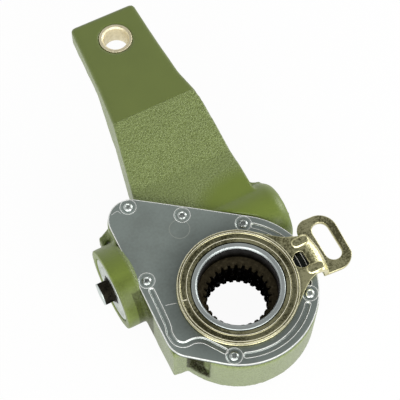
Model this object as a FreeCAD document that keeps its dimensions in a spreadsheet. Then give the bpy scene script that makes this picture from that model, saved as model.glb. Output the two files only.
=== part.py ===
import FreeCAD, Part
import math
import os

import Sketcher

# Automatic brake slack adjuster for a drum brake.
# Origin on the axis of the splined bore, at the lower end of the worm wheel.
# +Z runs along the bore to the cover side, +X along the worm shaft away from its hexagon,
# and +Y towards the eye of the arm.

os.makedirs("parts", exist_ok=True)
doc = FreeCAD.newDocument("slack_adjuster")
sheet = doc.addObject("Spreadsheet::Sheet", "sizes")
Vector = FreeCAD.Vector
SUBPARTS = []


class Size:
    """A length with its number and the sheet expression that gives it."""

    def __init__(self, number, text):
        self.number = float(number)
        self.text = text

    def __float__(self):
        return self.number

    def __add__(self, other):
        other = as_size(other)
        return Size(self.number + other.number, f"({self.text} + {other.text})")

    def __radd__(self, other):
        return as_size(other) + self

    def __sub__(self, other):
        other = as_size(other)
        return Size(self.number - other.number, f"({self.text} - {other.text})")

    def __rsub__(self, other):
        return as_size(other) - self

    def __mul__(self, other):
        other = as_size(other)
        return Size(self.number * other.number, f"({self.text} * {other.text})")

    def __rmul__(self, other):
        return as_size(other) * self

    def __truediv__(self, other):
        other = as_size(other)
        return Size(self.number / other.number, f"({self.text} / {other.text})")

    def __neg__(self):
        return Size(-self.number, f"(-{self.text})")


def as_size(value):
    """Wrap a plain number, so that it can stand beside a named size."""
    if isinstance(value, Size):
        return value
    return Size(value, repr(float(value)))


def named(alias, number):
    """Write one driving dimension into the sheet and return it as a size."""
    row = named.row
    named.row += 1
    sheet.set(f"A{row}", alias)
    sheet.set(f"B{row}", str(number))
    sheet.setAlias(f"B{row}", alias)
    return Size(number, f"sizes.{alias}")


named.row = 1


# Heights along the bore axis
body_top = 31.5
gasket_thick = 0.5
cover_thick = 2.0
hub_end_height = 37.1
run_gap = 0.3
shaft_gap = 0.05

# Housing around the bore
body_round = 42.6
left_wall = 47.1
left_lean = 1.9
shoulder_angle = 53.8
shoulder_round = 12.6
heel_low = 17.4
heel_angle = 205.0
notch_angle = 221.5
notch_deep = 4.0
notch_floor = 9.0
lug_reach = 50.2
lug_middle = 67.3
lug_wide = 6.6
lug_low = 10.0
lug_high = 18.0

# Worm boss across the housing
worm_across = 36.9
worm_height = 15.0
boss_round = 23.0
boss_face = 57.2
boss_long = 8.6
barrel_round = 19.0
barrel_end = 50.5
barrel_corner = 5.0

# Arm
arm_reach = 165.0
eye_offset = 9.2
arm_top = 40.2
arm_thick = 12.6
tip_beyond = 16.4
tip_left = 9.9
tip_right = 28.6
crease_at = 115.0
crease_left = 16.6
crease_right = 34.2
waist_at = 129.0
waist_left = 15.2
waist_right = 31.2
root_at = 76.0
root_left = 24.4
root_right = 36.2
arm_foot_at = 40.0
arm_deepens_at = 143.0
arm_deep_at = 122.0
arm_deep_low = 12.5
arm_root_low = 2.0
arm_edge_round = 1.6
eye_bore = 7.0
bush_wall = 2.45

# Cover plate
cover_round = 42.3
cover_left = 46.5
cover_shoulder_round = 12.0
cover_heel_angle = 231.3
cover_heel_round = 14.0
cover_hole_gap = 2.5
screw_circle = 37.3
screw_round = 2.5
screw_head_round = 3.0
screw_head_high = 1.3
screw_long = 6.8
dimple_round = 4.6
dimple_deep = 0.9
bead_wide = 3.0
bead_deep = 0.8
bead_circle = 37.0

# Worm wheel and worm
gear_module = 2.25
wheel_teeth = 23
wheel_tooth_width = 19.0
wheel_hub_round = 22.0
spline_teeth = 28
spline_tip = 16.6
spline_root = 18.3
wheel_top = 26.0
hub_ring_wall = 3.3
hub_ring_round = 24.6
worm_turns = 3.0
backlash = 0.6
journal_round = 7.0
hex_across = 12.0
hex_turn = 12.0
hex_stick_out = 6.5

# Clutch gear and rack
clutch_at = 34.6
clutch_module = 1.0
clutch_teeth = 19
clutch_width = 5.4
rack_wide = 6.0
rack_top_gap = 0.6
rack_low = 9.2
rack_high = 46.5
rack_travel = 13.7
channel_end = 64.5
rack_nose = 5.0
nose_reach = 3.0
nose_gap = 1.1

# Control unit
disc_wide = 5.9
disc_low = 27.4
disc_thick = 2.8
collar_gap = 0.5
collar_wall = 1.6
ring_wide = 5.7
ring_top = 37.4
ring_lift = 0.5
arm_sheet = 2.5
tab_long = 16.4
tab_half_wide = 11.9
tab_middle = -0.8
tab_drop = 8.5
tab_hole = 4.6
tab_hole_beyond = 4.2
slot_wide = 9.2
slot_long = 23.0
slot_beyond = 7.7
slot_middle = 4.3
loop_rim = 5.0

# Caps and springs
cap_round = 18.3
cap_thick = 3.2
rear_bore = 14.5
rear_seat = 11.5
rear_seat_at = 17.0
rear_seat_end = 24.4
front_seat_at = 18.5
front_seat_long = 9.0
worm_room = 13.9
rear_cap_thick = 7.0
spring_wire = 1.6
spring_turns = 3.5

# Each plain size above becomes a cell of the sheet
for alias, number in list(globals().items()):
    if isinstance(number, (int, float)):
        globals()[alias] = named(alias, number)

# Sizes that follow from the others
cover_top = body_top + gasket_thick + cover_thick
wheel_pitch = gear_module * wheel_teeth / 2
worm_pitch = worm_across - wheel_pitch
wheel_tip = wheel_pitch + gear_module
wheel_root = wheel_pitch - gear_module * 1.2
worm_tip = worm_pitch + gear_module
worm_root = worm_pitch - gear_module * 1.2
thread_lead = gear_module * math.pi
clutch_pitch = clutch_module * clutch_teeth / 2
rack_pitch_height = worm_height + clutch_pitch
rack_top = body_top - rack_top_gap
rack_inside = clutch_at - rack_wide / 2
rack_outside = clutch_at + rack_wide / 2
bush_round = eye_bore + bush_wall
bore_recess = hub_ring_round - hub_ring_wall
collar_bore = hub_ring_round + collar_gap
collar_round = collar_bore + collar_wall
cover_hole = collar_round + cover_hole_gap
disc_round = collar_bore + disc_wide
ring_round = collar_round + ring_wide
tab_hole_at = ring_round + tab_hole_beyond
tab_reach = ring_round + tab_long
slot_at = tab_reach + slot_beyond


def polar(radius, angle):
    """Point at a radius and an angle in degrees."""
    turn = math.radians(float(angle))
    return (float(radius) * math.cos(turn), float(radius) * math.sin(turn))


def origin_of(body, role):
    """One of a body's own origin planes or axes."""
    return next(f for f in body.Origin.OriginFeatures if f.Role == role)


def new_body(label, at=None):
    """An empty body that is one sub-part, placed at named sizes."""
    body = doc.addObject("PartDesign::Body", label)
    body.Label = label
    if at is not None:
        place(body, at)
    SUBPARTS.append(body)
    return body


def place(item, at):
    """Put an object at three sizes and tie each of them to the sheet."""
    item.Placement.Base = Vector(*[float(v) for v in at])
    for letter, value in zip("xyz", at):
        text = as_size(value).text
        if "sizes." in text:
            item.setExpression(f"Placement.Base.{letter}", text)


def new_sketch(body, role, name, offset=0):
    """A sketch on one of the body's origin planes, lifted by a size along its normal."""
    sketch = body.newObject("Sketcher::SketchObject", name)
    sketch.AttachmentSupport = [(origin_of(body, role), "")]
    sketch.MapMode = "FlatFace"
    offset = as_size(offset)
    sketch.AttachmentOffset = FreeCAD.Placement(Vector(0, 0, offset.number), FreeCAD.Rotation())
    if "sizes." in offset.text:
        sketch.setExpression("AttachmentOffset.Base.z", offset.text)
    return sketch


def bind(item, prop, value):
    """Give a property its size, as an expression where the size is a named one."""
    value = as_size(value)
    setattr(item, prop, value.number)
    if "sizes." in value.text:
        item.setExpression(prop, value.text)


def constrain(sketch, kind, first, second, value):
    """Add one sized constraint; a negative distance swaps its two points."""
    value = as_size(value)
    if value.number < 0:
        first, second = second, first
        value = -value
    if second is None:
        index = sketch.addConstraint(Sketcher.Constraint(kind, first, value.number))
    else:
        index = sketch.addConstraint(Sketcher.Constraint(kind, *first, *second, value.number))
    if "sizes." in value.text:
        sketch.setExpression(f"Constraints[{index}]", value.text)


def fix_point(sketch, geometry, which, x, y):
    """Hold one point of a sketch at its coordinates."""
    for kind, value, axis in (("DistanceX", x, -2), ("DistanceY", y, -1)):
        if abs(float(value)) < 1e-6:
            sketch.addConstraint(Sketcher.Constraint("PointOnObject", geometry, which, axis))
        else:
            constrain(sketch, kind, (-1, 1), (geometry, which), value)


def outline(sketch, points):
    """Closed outline through points; a third value bulges the edge that follows into an arc.

    The bulge is the height of the arc over its chord, to the right of the way it runs.
    """
    count = len(points)
    start = sketch.GeometryCount
    for i, point in enumerate(points):
        after = points[(i + 1) % count]
        a = Vector(float(point[0]), float(point[1]), 0)
        b = Vector(float(after[0]), float(after[1]), 0)
        if len(point) == 3:
            along = (b - a).normalize()
            side = Vector(along.y, -along.x, 0)
            crown = (a + b) * 0.5 + side * float(point[2])
            ends = (a, b) if float(point[2]) > 0 else (b, a)
            sketch.addGeometry(Part.Arc(ends[0], crown, ends[1]), False)
        else:
            sketch.addGeometry(Part.LineSegment(a, b), False)
    for i, point in enumerate(points):
        here = start + i
        after = start + (i + 1) % count
        turned = end_keys(sketch, here, points, i)
        later = end_keys(sketch, after, points, (i + 1) % count)
        sketch.addConstraint(Sketcher.Constraint("Coincident", here, turned[1], after, later[0]))
        fix_point(sketch, here, turned[0], point[0], point[1])
        if len(point) == 3:
            hold_arc(sketch, here)


def hold_arc(sketch, geometry):
    """Hold an arc whose ends are fixed by the coordinate of its centre that decides its radius."""
    arc = sketch.Geometry[geometry]
    chord = arc.EndPoint - arc.StartPoint
    if abs(chord.x) > abs(chord.y):
        kind, value, axis = "DistanceY", arc.Center.y, -1
    else:
        kind, value, axis = "DistanceX", arc.Center.x, -2
    if abs(value) < 1e-6:
        sketch.addConstraint(Sketcher.Constraint("PointOnObject", geometry, 3, axis))
    else:
        constrain(sketch, kind, (-1, 1), (geometry, 3), value)


def end_keys(sketch, geometry, points, i):
    """Which end of an edge is its first and which its last; arcs are stored counter-clockwise."""
    edge = sketch.Geometry[geometry]
    first = Vector(float(points[i][0]), float(points[i][1]), 0)
    if (edge.StartPoint - first).Length < 1e-4:
        return (1, 2)
    return (2, 1)


def circle(sketch, x, y, radius):
    """Circle with its centre and radius held by sizes."""
    radius = as_size(radius)
    centre = Vector(float(x), float(y), 0)
    index = sketch.addGeometry(Part.Circle(centre, Vector(0, 0, 1), radius.number), False)
    constrain(sketch, "Radius", index, None, radius)
    if abs(float(x)) < 1e-6 and abs(float(y)) < 1e-6:
        sketch.addConstraint(Sketcher.Constraint("Coincident", index, 3, -1, 1))
    else:
        fix_point(sketch, index, 3, x, y)


def pad(body, sketch, length, name="Pad", symmetric=False, reverse=False):
    """Pad a sketch by a size."""
    feature = body.newObject("PartDesign::Pad", name)
    feature.Profile = sketch
    bind(feature, "Length", length)
    feature.Midplane = symmetric
    feature.Reversed = reverse
    sketch.Visibility = False
    return feature


def pocket(body, sketch, length, name="Pocket", symmetric=False, reverse=False):
    """Pocket a sketch by a size; the volume has to drop."""
    doc.recompute()
    before = body.Shape.Volume
    feature = body.newObject("PartDesign::Pocket", name)
    feature.Profile = sketch
    bind(feature, "Length", length)
    feature.Midplane = symmetric
    feature.Reversed = reverse
    doc.recompute()
    if not body.Shape.Volume < before:
        raise RuntimeError(f"{body.Label}: {name} cut nothing")
    return feature


def turned(body, profile, axis, name="Revolution", cut=False, at=(0, 0, 0)):
    """Revolve a closed profile about the body's X or Z axis, moved to a place if given.

    Profile points are (along the axis, radius).
    """
    if axis == "X":
        sketch = new_sketch(body, "XY_Plane", f"{name}Profile")
        points = [(p[0], p[1]) + tuple(p[2:]) for p in profile]
        line = "H_Axis"
    else:
        sketch = new_sketch(body, "XZ_Plane", f"{name}Profile")
        points = [(p[1], p[0]) + tuple(p[2:]) for p in profile]
        line = "V_Axis"
    shift = [as_size(v) for v in at]
    if axis == "X":
        sketch.AttachmentOffset = FreeCAD.Placement(Vector(*[v.number for v in shift]), FreeCAD.Rotation())
        for letter, value in zip("xyz", shift):
            if "sizes." in value.text:
                sketch.setExpression(f"AttachmentOffset.Base.{letter}", value.text)
    outline(sketch, points)
    kind = "PartDesign::Groove" if cut else "PartDesign::Revolution"
    if cut:
        doc.recompute()
        before = body.Shape.Volume
    feature = body.newObject(kind, name)
    feature.Profile = sketch
    feature.ReferenceAxis = (sketch, [line])
    feature.Angle = 360
    if cut:
        doc.recompute()
        if not body.Shape.Volume < before:
            raise RuntimeError(f"{body.Label}: {name} cut nothing")
    return feature


def repeat(body, feature, count, name="Pattern"):
    """Repeat a feature around the body's Z axis."""
    pattern = body.newObject("PartDesign::PolarPattern", name)
    pattern.Originals = [feature]
    pattern.Axis = (origin_of(body, "Z_Axis"), [""])
    pattern.Angle = 360
    pattern.Occurrences = int(round(float(count)))
    body.Tip = pattern
    return pattern


def obround(sketch, x, y, length, width, angle=0):
    """Slot outline with round ends, turned by an angle in degrees."""
    half = float(length) / 2 - float(width) / 2
    radius = float(width) / 2
    turn = math.radians(angle)
    ux, uy = math.cos(turn), math.sin(turn)
    corners = []
    for along, side in ((-half, -radius), (half, -radius), (half, radius), (-half, radius)):
        corners.append((float(x) + along * ux - side * uy, float(y) + along * uy + side * ux))
    outline(sketch, [corners[0], corners[1] + (radius,), corners[2], corners[3] + (radius,)])


def teardrop(round_radius, left, lean, shoulder_turn, shoulder_radius, heel_turn, heel_radius):
    """Outline of the cover: a round around the bore and a lobe towards the worm's clutch end.

    Three straight edges touch the round or stand at a distance from the bore axis, and
    the two corners between them are rounded.
    """
    round_radius = float(round_radius)
    sides = [
        (180.0 - float(lean), float(left)),
        (float(shoulder_turn), round_radius),
        (float(heel_turn), round_radius),
    ]

    def cross(first, second):
        """Where two edges meet, each given by its normal's angle and distance."""
        a, b = math.radians(first[0]), math.radians(second[0])
        det = math.cos(a) * math.sin(b) - math.sin(a) * math.cos(b)
        x = (first[1] * math.sin(b) - second[1] * math.sin(a)) / det
        y = (second[1] * math.cos(a) - first[1] * math.cos(b)) / det
        return (x, y)

    def corner(first, second, radius):
        """Tangent points of a round corner between two edges, and its bulge."""
        radius = float(radius)
        inner = cross((first[0], first[1] - radius), (second[0], second[1] - radius))
        p = polar(radius, first[0])
        q = polar(radius, second[0])
        a = (inner[0] + p[0], inner[1] + p[1])
        b = (inner[0] + q[0], inner[1] + q[1])
        half_chord = math.dist(a, b) / 2
        bulge = radius - math.sqrt(radius * radius - half_chord * half_chord)
        return a, b, bulge

    shoulder = corner(sides[1], sides[0], shoulder_radius)
    heel = corner(sides[0], sides[2], heel_radius)
    low = polar(round_radius, heel_turn)
    high = polar(round_radius, shoulder_turn)
    right = polar(round_radius, (float(heel_turn) - 360 + float(shoulder_turn)) / 2)
    sweep = math.radians((float(shoulder_turn) - float(heel_turn) + 360) / 2)
    half_bulge = round_radius * (1 - math.cos(sweep / 2))
    return [
        low + (half_bulge,),
        right + (half_bulge,),
        high,
        shoulder[0] + (shoulder[2],),
        shoulder[1],
        heel[0] + (heel[2],),
        heel[1],
    ]


def cover_outline(grow):
    """The cover's outline, grown outwards by a clearance."""
    return teardrop(
        cover_round + grow, cover_left + grow, left_lean, shoulder_angle,
        cover_shoulder_round + grow, cover_heel_angle, cover_heel_round + grow)


def screw_places():
    """Centres of the six cover screws."""
    round_ones = [polar(screw_circle, angle) for angle in (57.8, -31.7, -121.6)]
    lobe_ones = [(-30.4, 68.5), (-6.8, 51.0), (-40.6, 25.6)]
    return lobe_ones + round_ones


def find_edges(shape, test):
    """Names of the edges whose bounding box passes a test."""
    return [f"Edge{i + 1}" for i, edge in enumerate(shape.Edges) if test(edge)]


def fillet(body, test, radius, name="Fillet"):
    """Fillet the edges of a body that pass a test."""
    doc.recompute()
    base = body.Tip
    names = find_edges(base.Shape, test)
    if not names:
        raise RuntimeError(f"{body.Label}: {name} found no edge")
    feature = body.newObject("PartDesign::Fillet", name)
    feature.Base = (base, names)
    bind(feature, "Radius", radius)
    doc.recompute()
    return feature


def make_housing():
    """Cast housing with its arm, worm boss, wheel chamber and rack channel."""
    body = new_body("housing")

    # Arm: side profile padded across, then trimmed to its plan outline
    side = new_sketch(body, "YZ_Plane", "ArmSide")
    arm_low = arm_top - arm_thick
    tip_at = arm_reach + tip_beyond
    outline(side, [
        (arm_foot_at, arm_root_low),
        (crease_at - 30, arm_root_low + 3),
        (arm_deep_at, arm_deep_low),
        (arm_deepens_at, arm_low),
        (tip_at, arm_low),
        (tip_at, arm_top),
        (crease_at, arm_top),
        (root_at, body_top - 0.5),
        (arm_foot_at, body_top - 0.5),
    ])
    pad(body, side, 120, "ArmPad", symmetric=True)
    plan = new_sketch(body, "XY_Plane", "ArmPlan", -20)
    outline(plan, [(-90, -20), (90, -20), (90, 220), (-90, 220)])
    outline(plan, [
        (-root_left - 3, arm_foot_at - 5),
        (root_right, arm_foot_at - 5),
        (root_right, root_at - 10),
        (crease_right + 0.8, crease_at - 10),
        (crease_right - 0.4, crease_at + 1),
        (waist_right, waist_at),
        (tip_right + 1, arm_reach - 10),
        (tip_right, tip_at),
        (-tip_left, tip_at),
        (-waist_left + 1, waist_at + 8),
        (-crease_left, crease_at),
        (-root_left + 0.8, root_at + 4),
        (-root_left - 3, root_at - 12),
    ])
    pocket(body, plan, 100, "ArmTrim", reverse=True)

    def tip_corner(edge):
        box = edge.BoundBox
        return box.YMin > float(tip_at) - 0.1 and box.ZLength > 5

    fillet(body, tip_corner, 2.5, "TipCorners")

    def long_edge(edge):
        box = edge.BoundBox
        along_flat = box.YMax > float(crease_at) + 1 and box.YMin > float(root_at)
        return along_flat and box.ZMin > float(arm_top) - 0.01

    fillet(body, long_edge, arm_edge_round, "ArmEdges")

    # Flat body around the wheel, with the lobe over the clutch end of the worm
    base = new_sketch(body, "XY_Plane", "BaseOutline")
    shape = teardrop(body_round, left_wall, left_lean, shoulder_angle, shoulder_round, heel_angle, 1.0)
    low = polar(body_round, heel_angle)
    right = polar(body_round, (float(heel_angle) - 360 + float(shoulder_angle)) / 2)
    sweep = math.radians((float(shoulder_angle) - float(heel_angle) + 360) / 2)
    half_bulge = float(body_round) * (1 - math.cos(sweep / 2))
    outline(base, [
        low + (half_bulge,),
        right + (half_bulge,),
        shape[2],
        shape[3],
        shape[4],
        (-left_wall + 0.5, -heel_low),
    ])
    pad(body, base, body_top, "BasePad")

    # Worm boss and barrel
    boss_back = -boss_face + boss_long
    turned(body, [
        (-boss_face, 0),
        (-boss_face, boss_round),
        (boss_back, boss_round),
        (boss_back + 4, barrel_round),
        (barrel_end - barrel_corner, barrel_round, -float(barrel_corner) * 0.293),
        (barrel_end, barrel_round - barrel_corner),
        (barrel_end, 0),
    ], "X", "WormBoss", at=(0, worm_across, worm_height))

    # Small lug on the shoulder of the left wall
    lug = new_sketch(body, "XY_Plane", "Lug", lug_low)
    lug_half = lug_wide / 2
    outline(lug, [
        (shoulder_round - left_wall, lug_middle - lug_half),
        (shoulder_round - left_wall, lug_middle + lug_half),
        (1.5 - lug_reach, lug_middle + lug_half, 0.6),
        (-lug_reach, lug_middle + lug_half - 1.5),
        (-lug_reach, lug_middle - lug_half),
    ])
    pad(body, lug, lug_high - lug_low, "LugPad")

    # Seat of the gasket and cover, milled flat
    seat = new_sketch(body, "XY_Plane", "CoverSeat", body_top)
    outline(seat, cover_outline(0.9))
    pocket(body, seat, 20, "CoverSeatCut", reverse=True)

    # Notch in the wall under the heel of the cover
    notch = new_sketch(body, "XY_Plane", "WallNotch", body_top)
    inner = body_round - notch_deep
    outline(notch, [
        polar(inner, heel_angle + 1.5),
        polar(inner, notch_angle),
        polar(body_round + 6, notch_angle),
        polar(body_round + 12, heel_angle + 1.5),
    ])
    pocket(body, notch, body_top - notch_floor, "WallNotchCut")

    # Wheel chamber, open towards the cover, and the opening for the wheel's lower hub
    turned(body, [
        (-1, 0),
        (-1, wheel_hub_round + shaft_gap),
        (3.2, wheel_hub_round + shaft_gap),
        (3.2, wheel_tip + 0.7),
        (disc_low - run_gap, wheel_tip + 0.7),
        (disc_low - run_gap, disc_round + 0.5),
        (body_top + 1, disc_round + 0.5),
        (body_top + 1, 0),
    ], "Z", "WheelChamber", cut=True)

    # Worm bore, stepped from both ends
    turned(body, [
        (-boss_face - 1, 0),
        (-boss_face - 1, cap_round),
        (-boss_face + cap_thick, cap_round),
        (-boss_face + cap_thick, worm_room),
        (rear_seat_at, worm_room),
        (rear_seat_at, rear_seat),
        (rear_seat_end, rear_seat),
        (rear_seat_end, rear_bore),
        (barrel_end + 1, rear_bore),
        (barrel_end + 1, 0),
    ], "X", "WormBore", cut=True, at=(0, worm_across, worm_height))

    # Rack channel beside the wheel chamber, open towards the cover
    channel = new_sketch(body, "XY_Plane", "RackChannel", body_top)
    outline(channel, [
        (-rack_outside - run_gap, -rack_low - 1.5),
        (-rack_inside + run_gap, -rack_low - 1.5),
        (-rack_inside + run_gap, channel_end),
        (-rack_outside - run_gap, channel_end),
    ])
    pocket(body, channel, body_top - rack_pitch_height + clutch_module * 1.25 + run_gap, "RackChannelCut")
    nose = new_sketch(body, "XY_Plane", "NosePath", body_top)
    outline(nose, [
        (-rack_inside - 0.2, -rack_low - run_gap * 2),
        (-rack_inside + nose_reach + 0.8, -rack_low - run_gap * 2),
        (-rack_inside + nose_reach + 0.8, -rack_low + rack_nose + rack_travel + run_gap * 2),
        (-rack_inside - 0.2, -rack_low + rack_nose + rack_travel + run_gap * 2),
    ])
    pocket(body, nose, body_top - rack_pitch_height - clutch_module * 1.25 + run_gap, "NosePathCut")

    # Screw holes and the eye of the arm
    holes = new_sketch(body, "XY_Plane", "ScrewHoles", body_top)
    for x, y in screw_places():
        circle(holes, x, y, screw_round)
    pocket(body, holes, screw_long - gasket_thick - cover_thick + 1, "ScrewHolesCut")
    eye = new_sketch(body, "XY_Plane", "ArmEye", arm_top + 1)
    circle(eye, eye_offset, arm_reach, bush_round)
    pocket(body, eye, arm_thick + 2, "ArmEyeCut")


def make_bush():
    """Plain steel bush pressed into the eye of the arm."""
    body = new_body("arm_bush", (eye_offset, arm_reach, arm_top - arm_thick))
    turned(body, [
        (0, eye_bore),
        (0, bush_round),
        (arm_thick, bush_round),
        (arm_thick, eye_bore + 0.7),
        (arm_thick - 0.7, eye_bore),
    ], "Z")


def make_gasket():
    """Flat gasket between housing and cover."""
    body = new_body("cover_gasket")
    sketch = new_sketch(body, "XY_Plane", "GasketOutline", body_top)
    outline(sketch, cover_outline(-0.4))
    pad(body, sketch, gasket_thick)
    hole = new_sketch(body, "XY_Plane", "GasketHoles", body_top)
    circle(hole, 0, 0, disc_round + 0.5)
    for x, y in screw_places():
        circle(hole, x, y, screw_round + 0.3)
    pocket(body, hole, gasket_thick * 2, reverse=True)


def bead_arc(sketch, radius, start, end, width):
    """Curved slot outline around the bore axis between two angles."""
    half = float(width) / 2
    sweep = math.radians(float(end) - float(start))
    outer, inner = float(radius) + half, float(radius) - half
    a, b = polar(outer, start), polar(outer, end)
    c, d = polar(inner, end), polar(inner, start)
    outline(sketch, [
        a + (outer * (1 - math.cos(sweep / 2)),),
        b + (half,),
        c + (-inner * (1 - math.cos(sweep / 2)),),
        d + (half,),
    ])


def bead_path(sketch, line, width):
    """Slot outline that follows a line of points at half its width on either side."""
    half = float(width) / 2
    left, right = [], []
    for i, (x, y) in enumerate(line):
        ax, ay = line[max(i - 1, 0)]
        bx, by = line[min(i + 1, len(line) - 1)]
        run = math.hypot(bx - ax, by - ay)
        side_x, side_y = (ay - by) / run * half, (bx - ax) / run * half
        left.append((x + side_x, y + side_y))
        right.append((x - side_x, y - side_y))
    right[-1] = right[-1] + (half * 0.99,)
    left[0] = left[0] + (half * 0.99,)
    outline(sketch, right + left[::-1])


def make_cover():
    """Pressed cover plate with screw dimples and stiffening beads."""
    body = new_body("cover_plate")
    low = body_top + gasket_thick
    sketch = new_sketch(body, "XY_Plane", "CoverOutline", low)
    outline(sketch, cover_outline(0))
    pad(body, sketch, cover_thick)
    hole = new_sketch(body, "XY_Plane", "CoverHoles", low)
    circle(hole, 0, 0, cover_hole)
    for x, y in screw_places():
        circle(hole, x, y, screw_round + 0.3)
    pocket(body, hole, cover_thick * 2, "CoverHolesCut", reverse=True)
    dimples = new_sketch(body, "XY_Plane", "Dimples", cover_top)
    for x, y in screw_places():
        circle(dimples, x, y, dimple_round)
    pocket(body, dimples, dimple_deep, "DimplesCut")
    beads = new_sketch(body, "XY_Plane", "Beads", cover_top)
    bead_arc(beads, bead_circle, -112, -41.5, bead_wide)
    bead_arc(beads, bead_circle, -23.5, 49.5, bead_wide)
    bead_path(beads, [
        (-40.8, 19.5), (-41.5, 8.0), (-41.9, 0.0), (-43.0, -5.0), (-42.9, -10.0), (-40.6, -14.0),
        (-36.4, -15.2), (-31.6, -15.8), (-28.4, -18.6), (-22.6, -27.0),
    ], bead_wide)
    pocket(body, beads, bead_deep, "BeadsCut")


def make_screws():
    """Six pan-head cover screws as one group of solids."""
    seat = cover_top - dimple_deep
    group = []
    for i, (x, y) in enumerate(screw_places()):
        shank = doc.addObject("Part::Cylinder", f"ScrewShank{i}")
        bind(shank, "Radius", screw_round)
        bind(shank, "Height", screw_long)
        place(shank, (x, y, seat - screw_long))
        head = doc.addObject("Part::Cylinder", f"ScrewHead{i}")
        bind(head, "Radius", screw_head_round)
        bind(head, "Height", screw_head_high)
        place(head, (x, y, seat))
        screw = doc.addObject("Part::Fuse", f"Screw{i}")
        screw.Base = shank
        screw.Tool = head
        group.append(screw)
    screws = doc.addObject("Part::Compound", "cover_screws")
    screws.Links = group
    screws.Label = "cover_screws"
    SUBPARTS.append(screws)


def make_wheel():
    """Worm wheel: splined bore, lower hub, helical teeth and a seat for the hub ring."""
    body = new_body("worm_wheel")
    tooth_low = worm_height - wheel_tooth_width / 2
    tooth_high = worm_height + wheel_tooth_width / 2
    turned(body, [
        (0, spline_tip),
        (0, wheel_hub_round),
        (tooth_low, wheel_hub_round),
        (tooth_low, wheel_tip - 1),
        (tooth_low + 1, wheel_tip),
        (tooth_high - 1, wheel_tip),
        (tooth_high, wheel_tip - 1),
        (tooth_high, hub_ring_round - 1),
        (wheel_top, hub_ring_round - 1),
        (wheel_top, bore_recess - 1.5),
        (wheel_top - 2.5, spline_tip),
    ], "Z", "Blank")

    # Spline: one outline with a tooth and a space for each pitch
    spline = new_sketch(body, "XY_Plane", "Spline", -1)
    pitch = 360 / float(spline_teeth)
    points = []
    for i in range(int(round(float(spline_teeth)))):
        turn = i * pitch
        points.append(polar(spline_tip - 0.4, turn - 0.31 * pitch))
        points.append(polar(spline_root, turn - 0.16 * pitch))
        points.append(polar(spline_root, turn + 0.16 * pitch))
        points.append(polar(spline_tip - 0.4, turn + 0.31 * pitch))
    star = [Part.LineSegment(Vector(*points[i], 0), Vector(*points[(i + 1) % len(points)], 0))
            for i in range(len(points))]
    spline.addGeometry(star, False)
    pocket(body, spline, wheel_top + 2, "SplineCut", reverse=True)

    # One tooth space, leaning with the worm's lead, repeated round the wheel
    lead_slope = float(thread_lead) / (2 * math.pi * float(worm_pitch))
    lean_turn = math.degrees(lead_slope * (float(wheel_tooth_width) / 2 + 1) / float(wheel_pitch))
    half_pitch = 360 / float(wheel_teeth) / 2
    loops = []
    ends = (("SpaceLow", tooth_low - 1, -lean_turn), ("SpaceHigh", tooth_high + 1, lean_turn))
    for name, height, turn in ends:
        section = new_sketch(body, "XY_Plane", name, height)
        middle = 90 + turn
        slope = math.tan(math.radians(20))
        half_space = float(thread_lead) / 4 + 0.1
        half_root = math.degrees((half_space - float(gear_module) * 1.2 * slope) / float(wheel_root))
        half_tip = math.degrees((half_space + float(gear_module) * 1.3 * slope) / float(wheel_tip))
        corners = [
            polar(wheel_root, middle - half_root),
            polar(wheel_tip + 0.6, middle - half_tip),
            polar(wheel_tip + 0.6, middle + half_tip),
            polar(wheel_root, middle + half_root),
        ]
        section.addGeometry([Part.LineSegment(Vector(*corners[i], 0), Vector(*corners[(i + 1) % 4], 0))
                             for i in range(4)], False)
        loops.append(section)
    doc.recompute()
    before = body.Shape.Volume
    space = body.newObject("PartDesign::SubtractiveLoft", "ToothSpace")
    space.Profile = loops[0]
    space.Sections = [loops[1]]
    space.Ruled = True
    doc.recompute()
    if not body.Shape.Volume < before:
        raise RuntimeError("worm_wheel: ToothSpace cut nothing")
    repeat(body, space, wheel_teeth, "Teeth")


def make_hub_ring():
    """Bright steel sleeve on the wheel's upper end, which the control unit turns around."""
    body = new_body("hub_ring")
    turned(body, [
        (wheel_top, bore_recess),
        (wheel_top, hub_ring_round),
        (hub_end_height - 0.6, hub_ring_round),
        (hub_end_height, hub_ring_round - 0.6),
        (hub_end_height, bore_recess + 1.0),
        (hub_end_height - 1.2, bore_recess),
    ], "Z")


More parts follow.
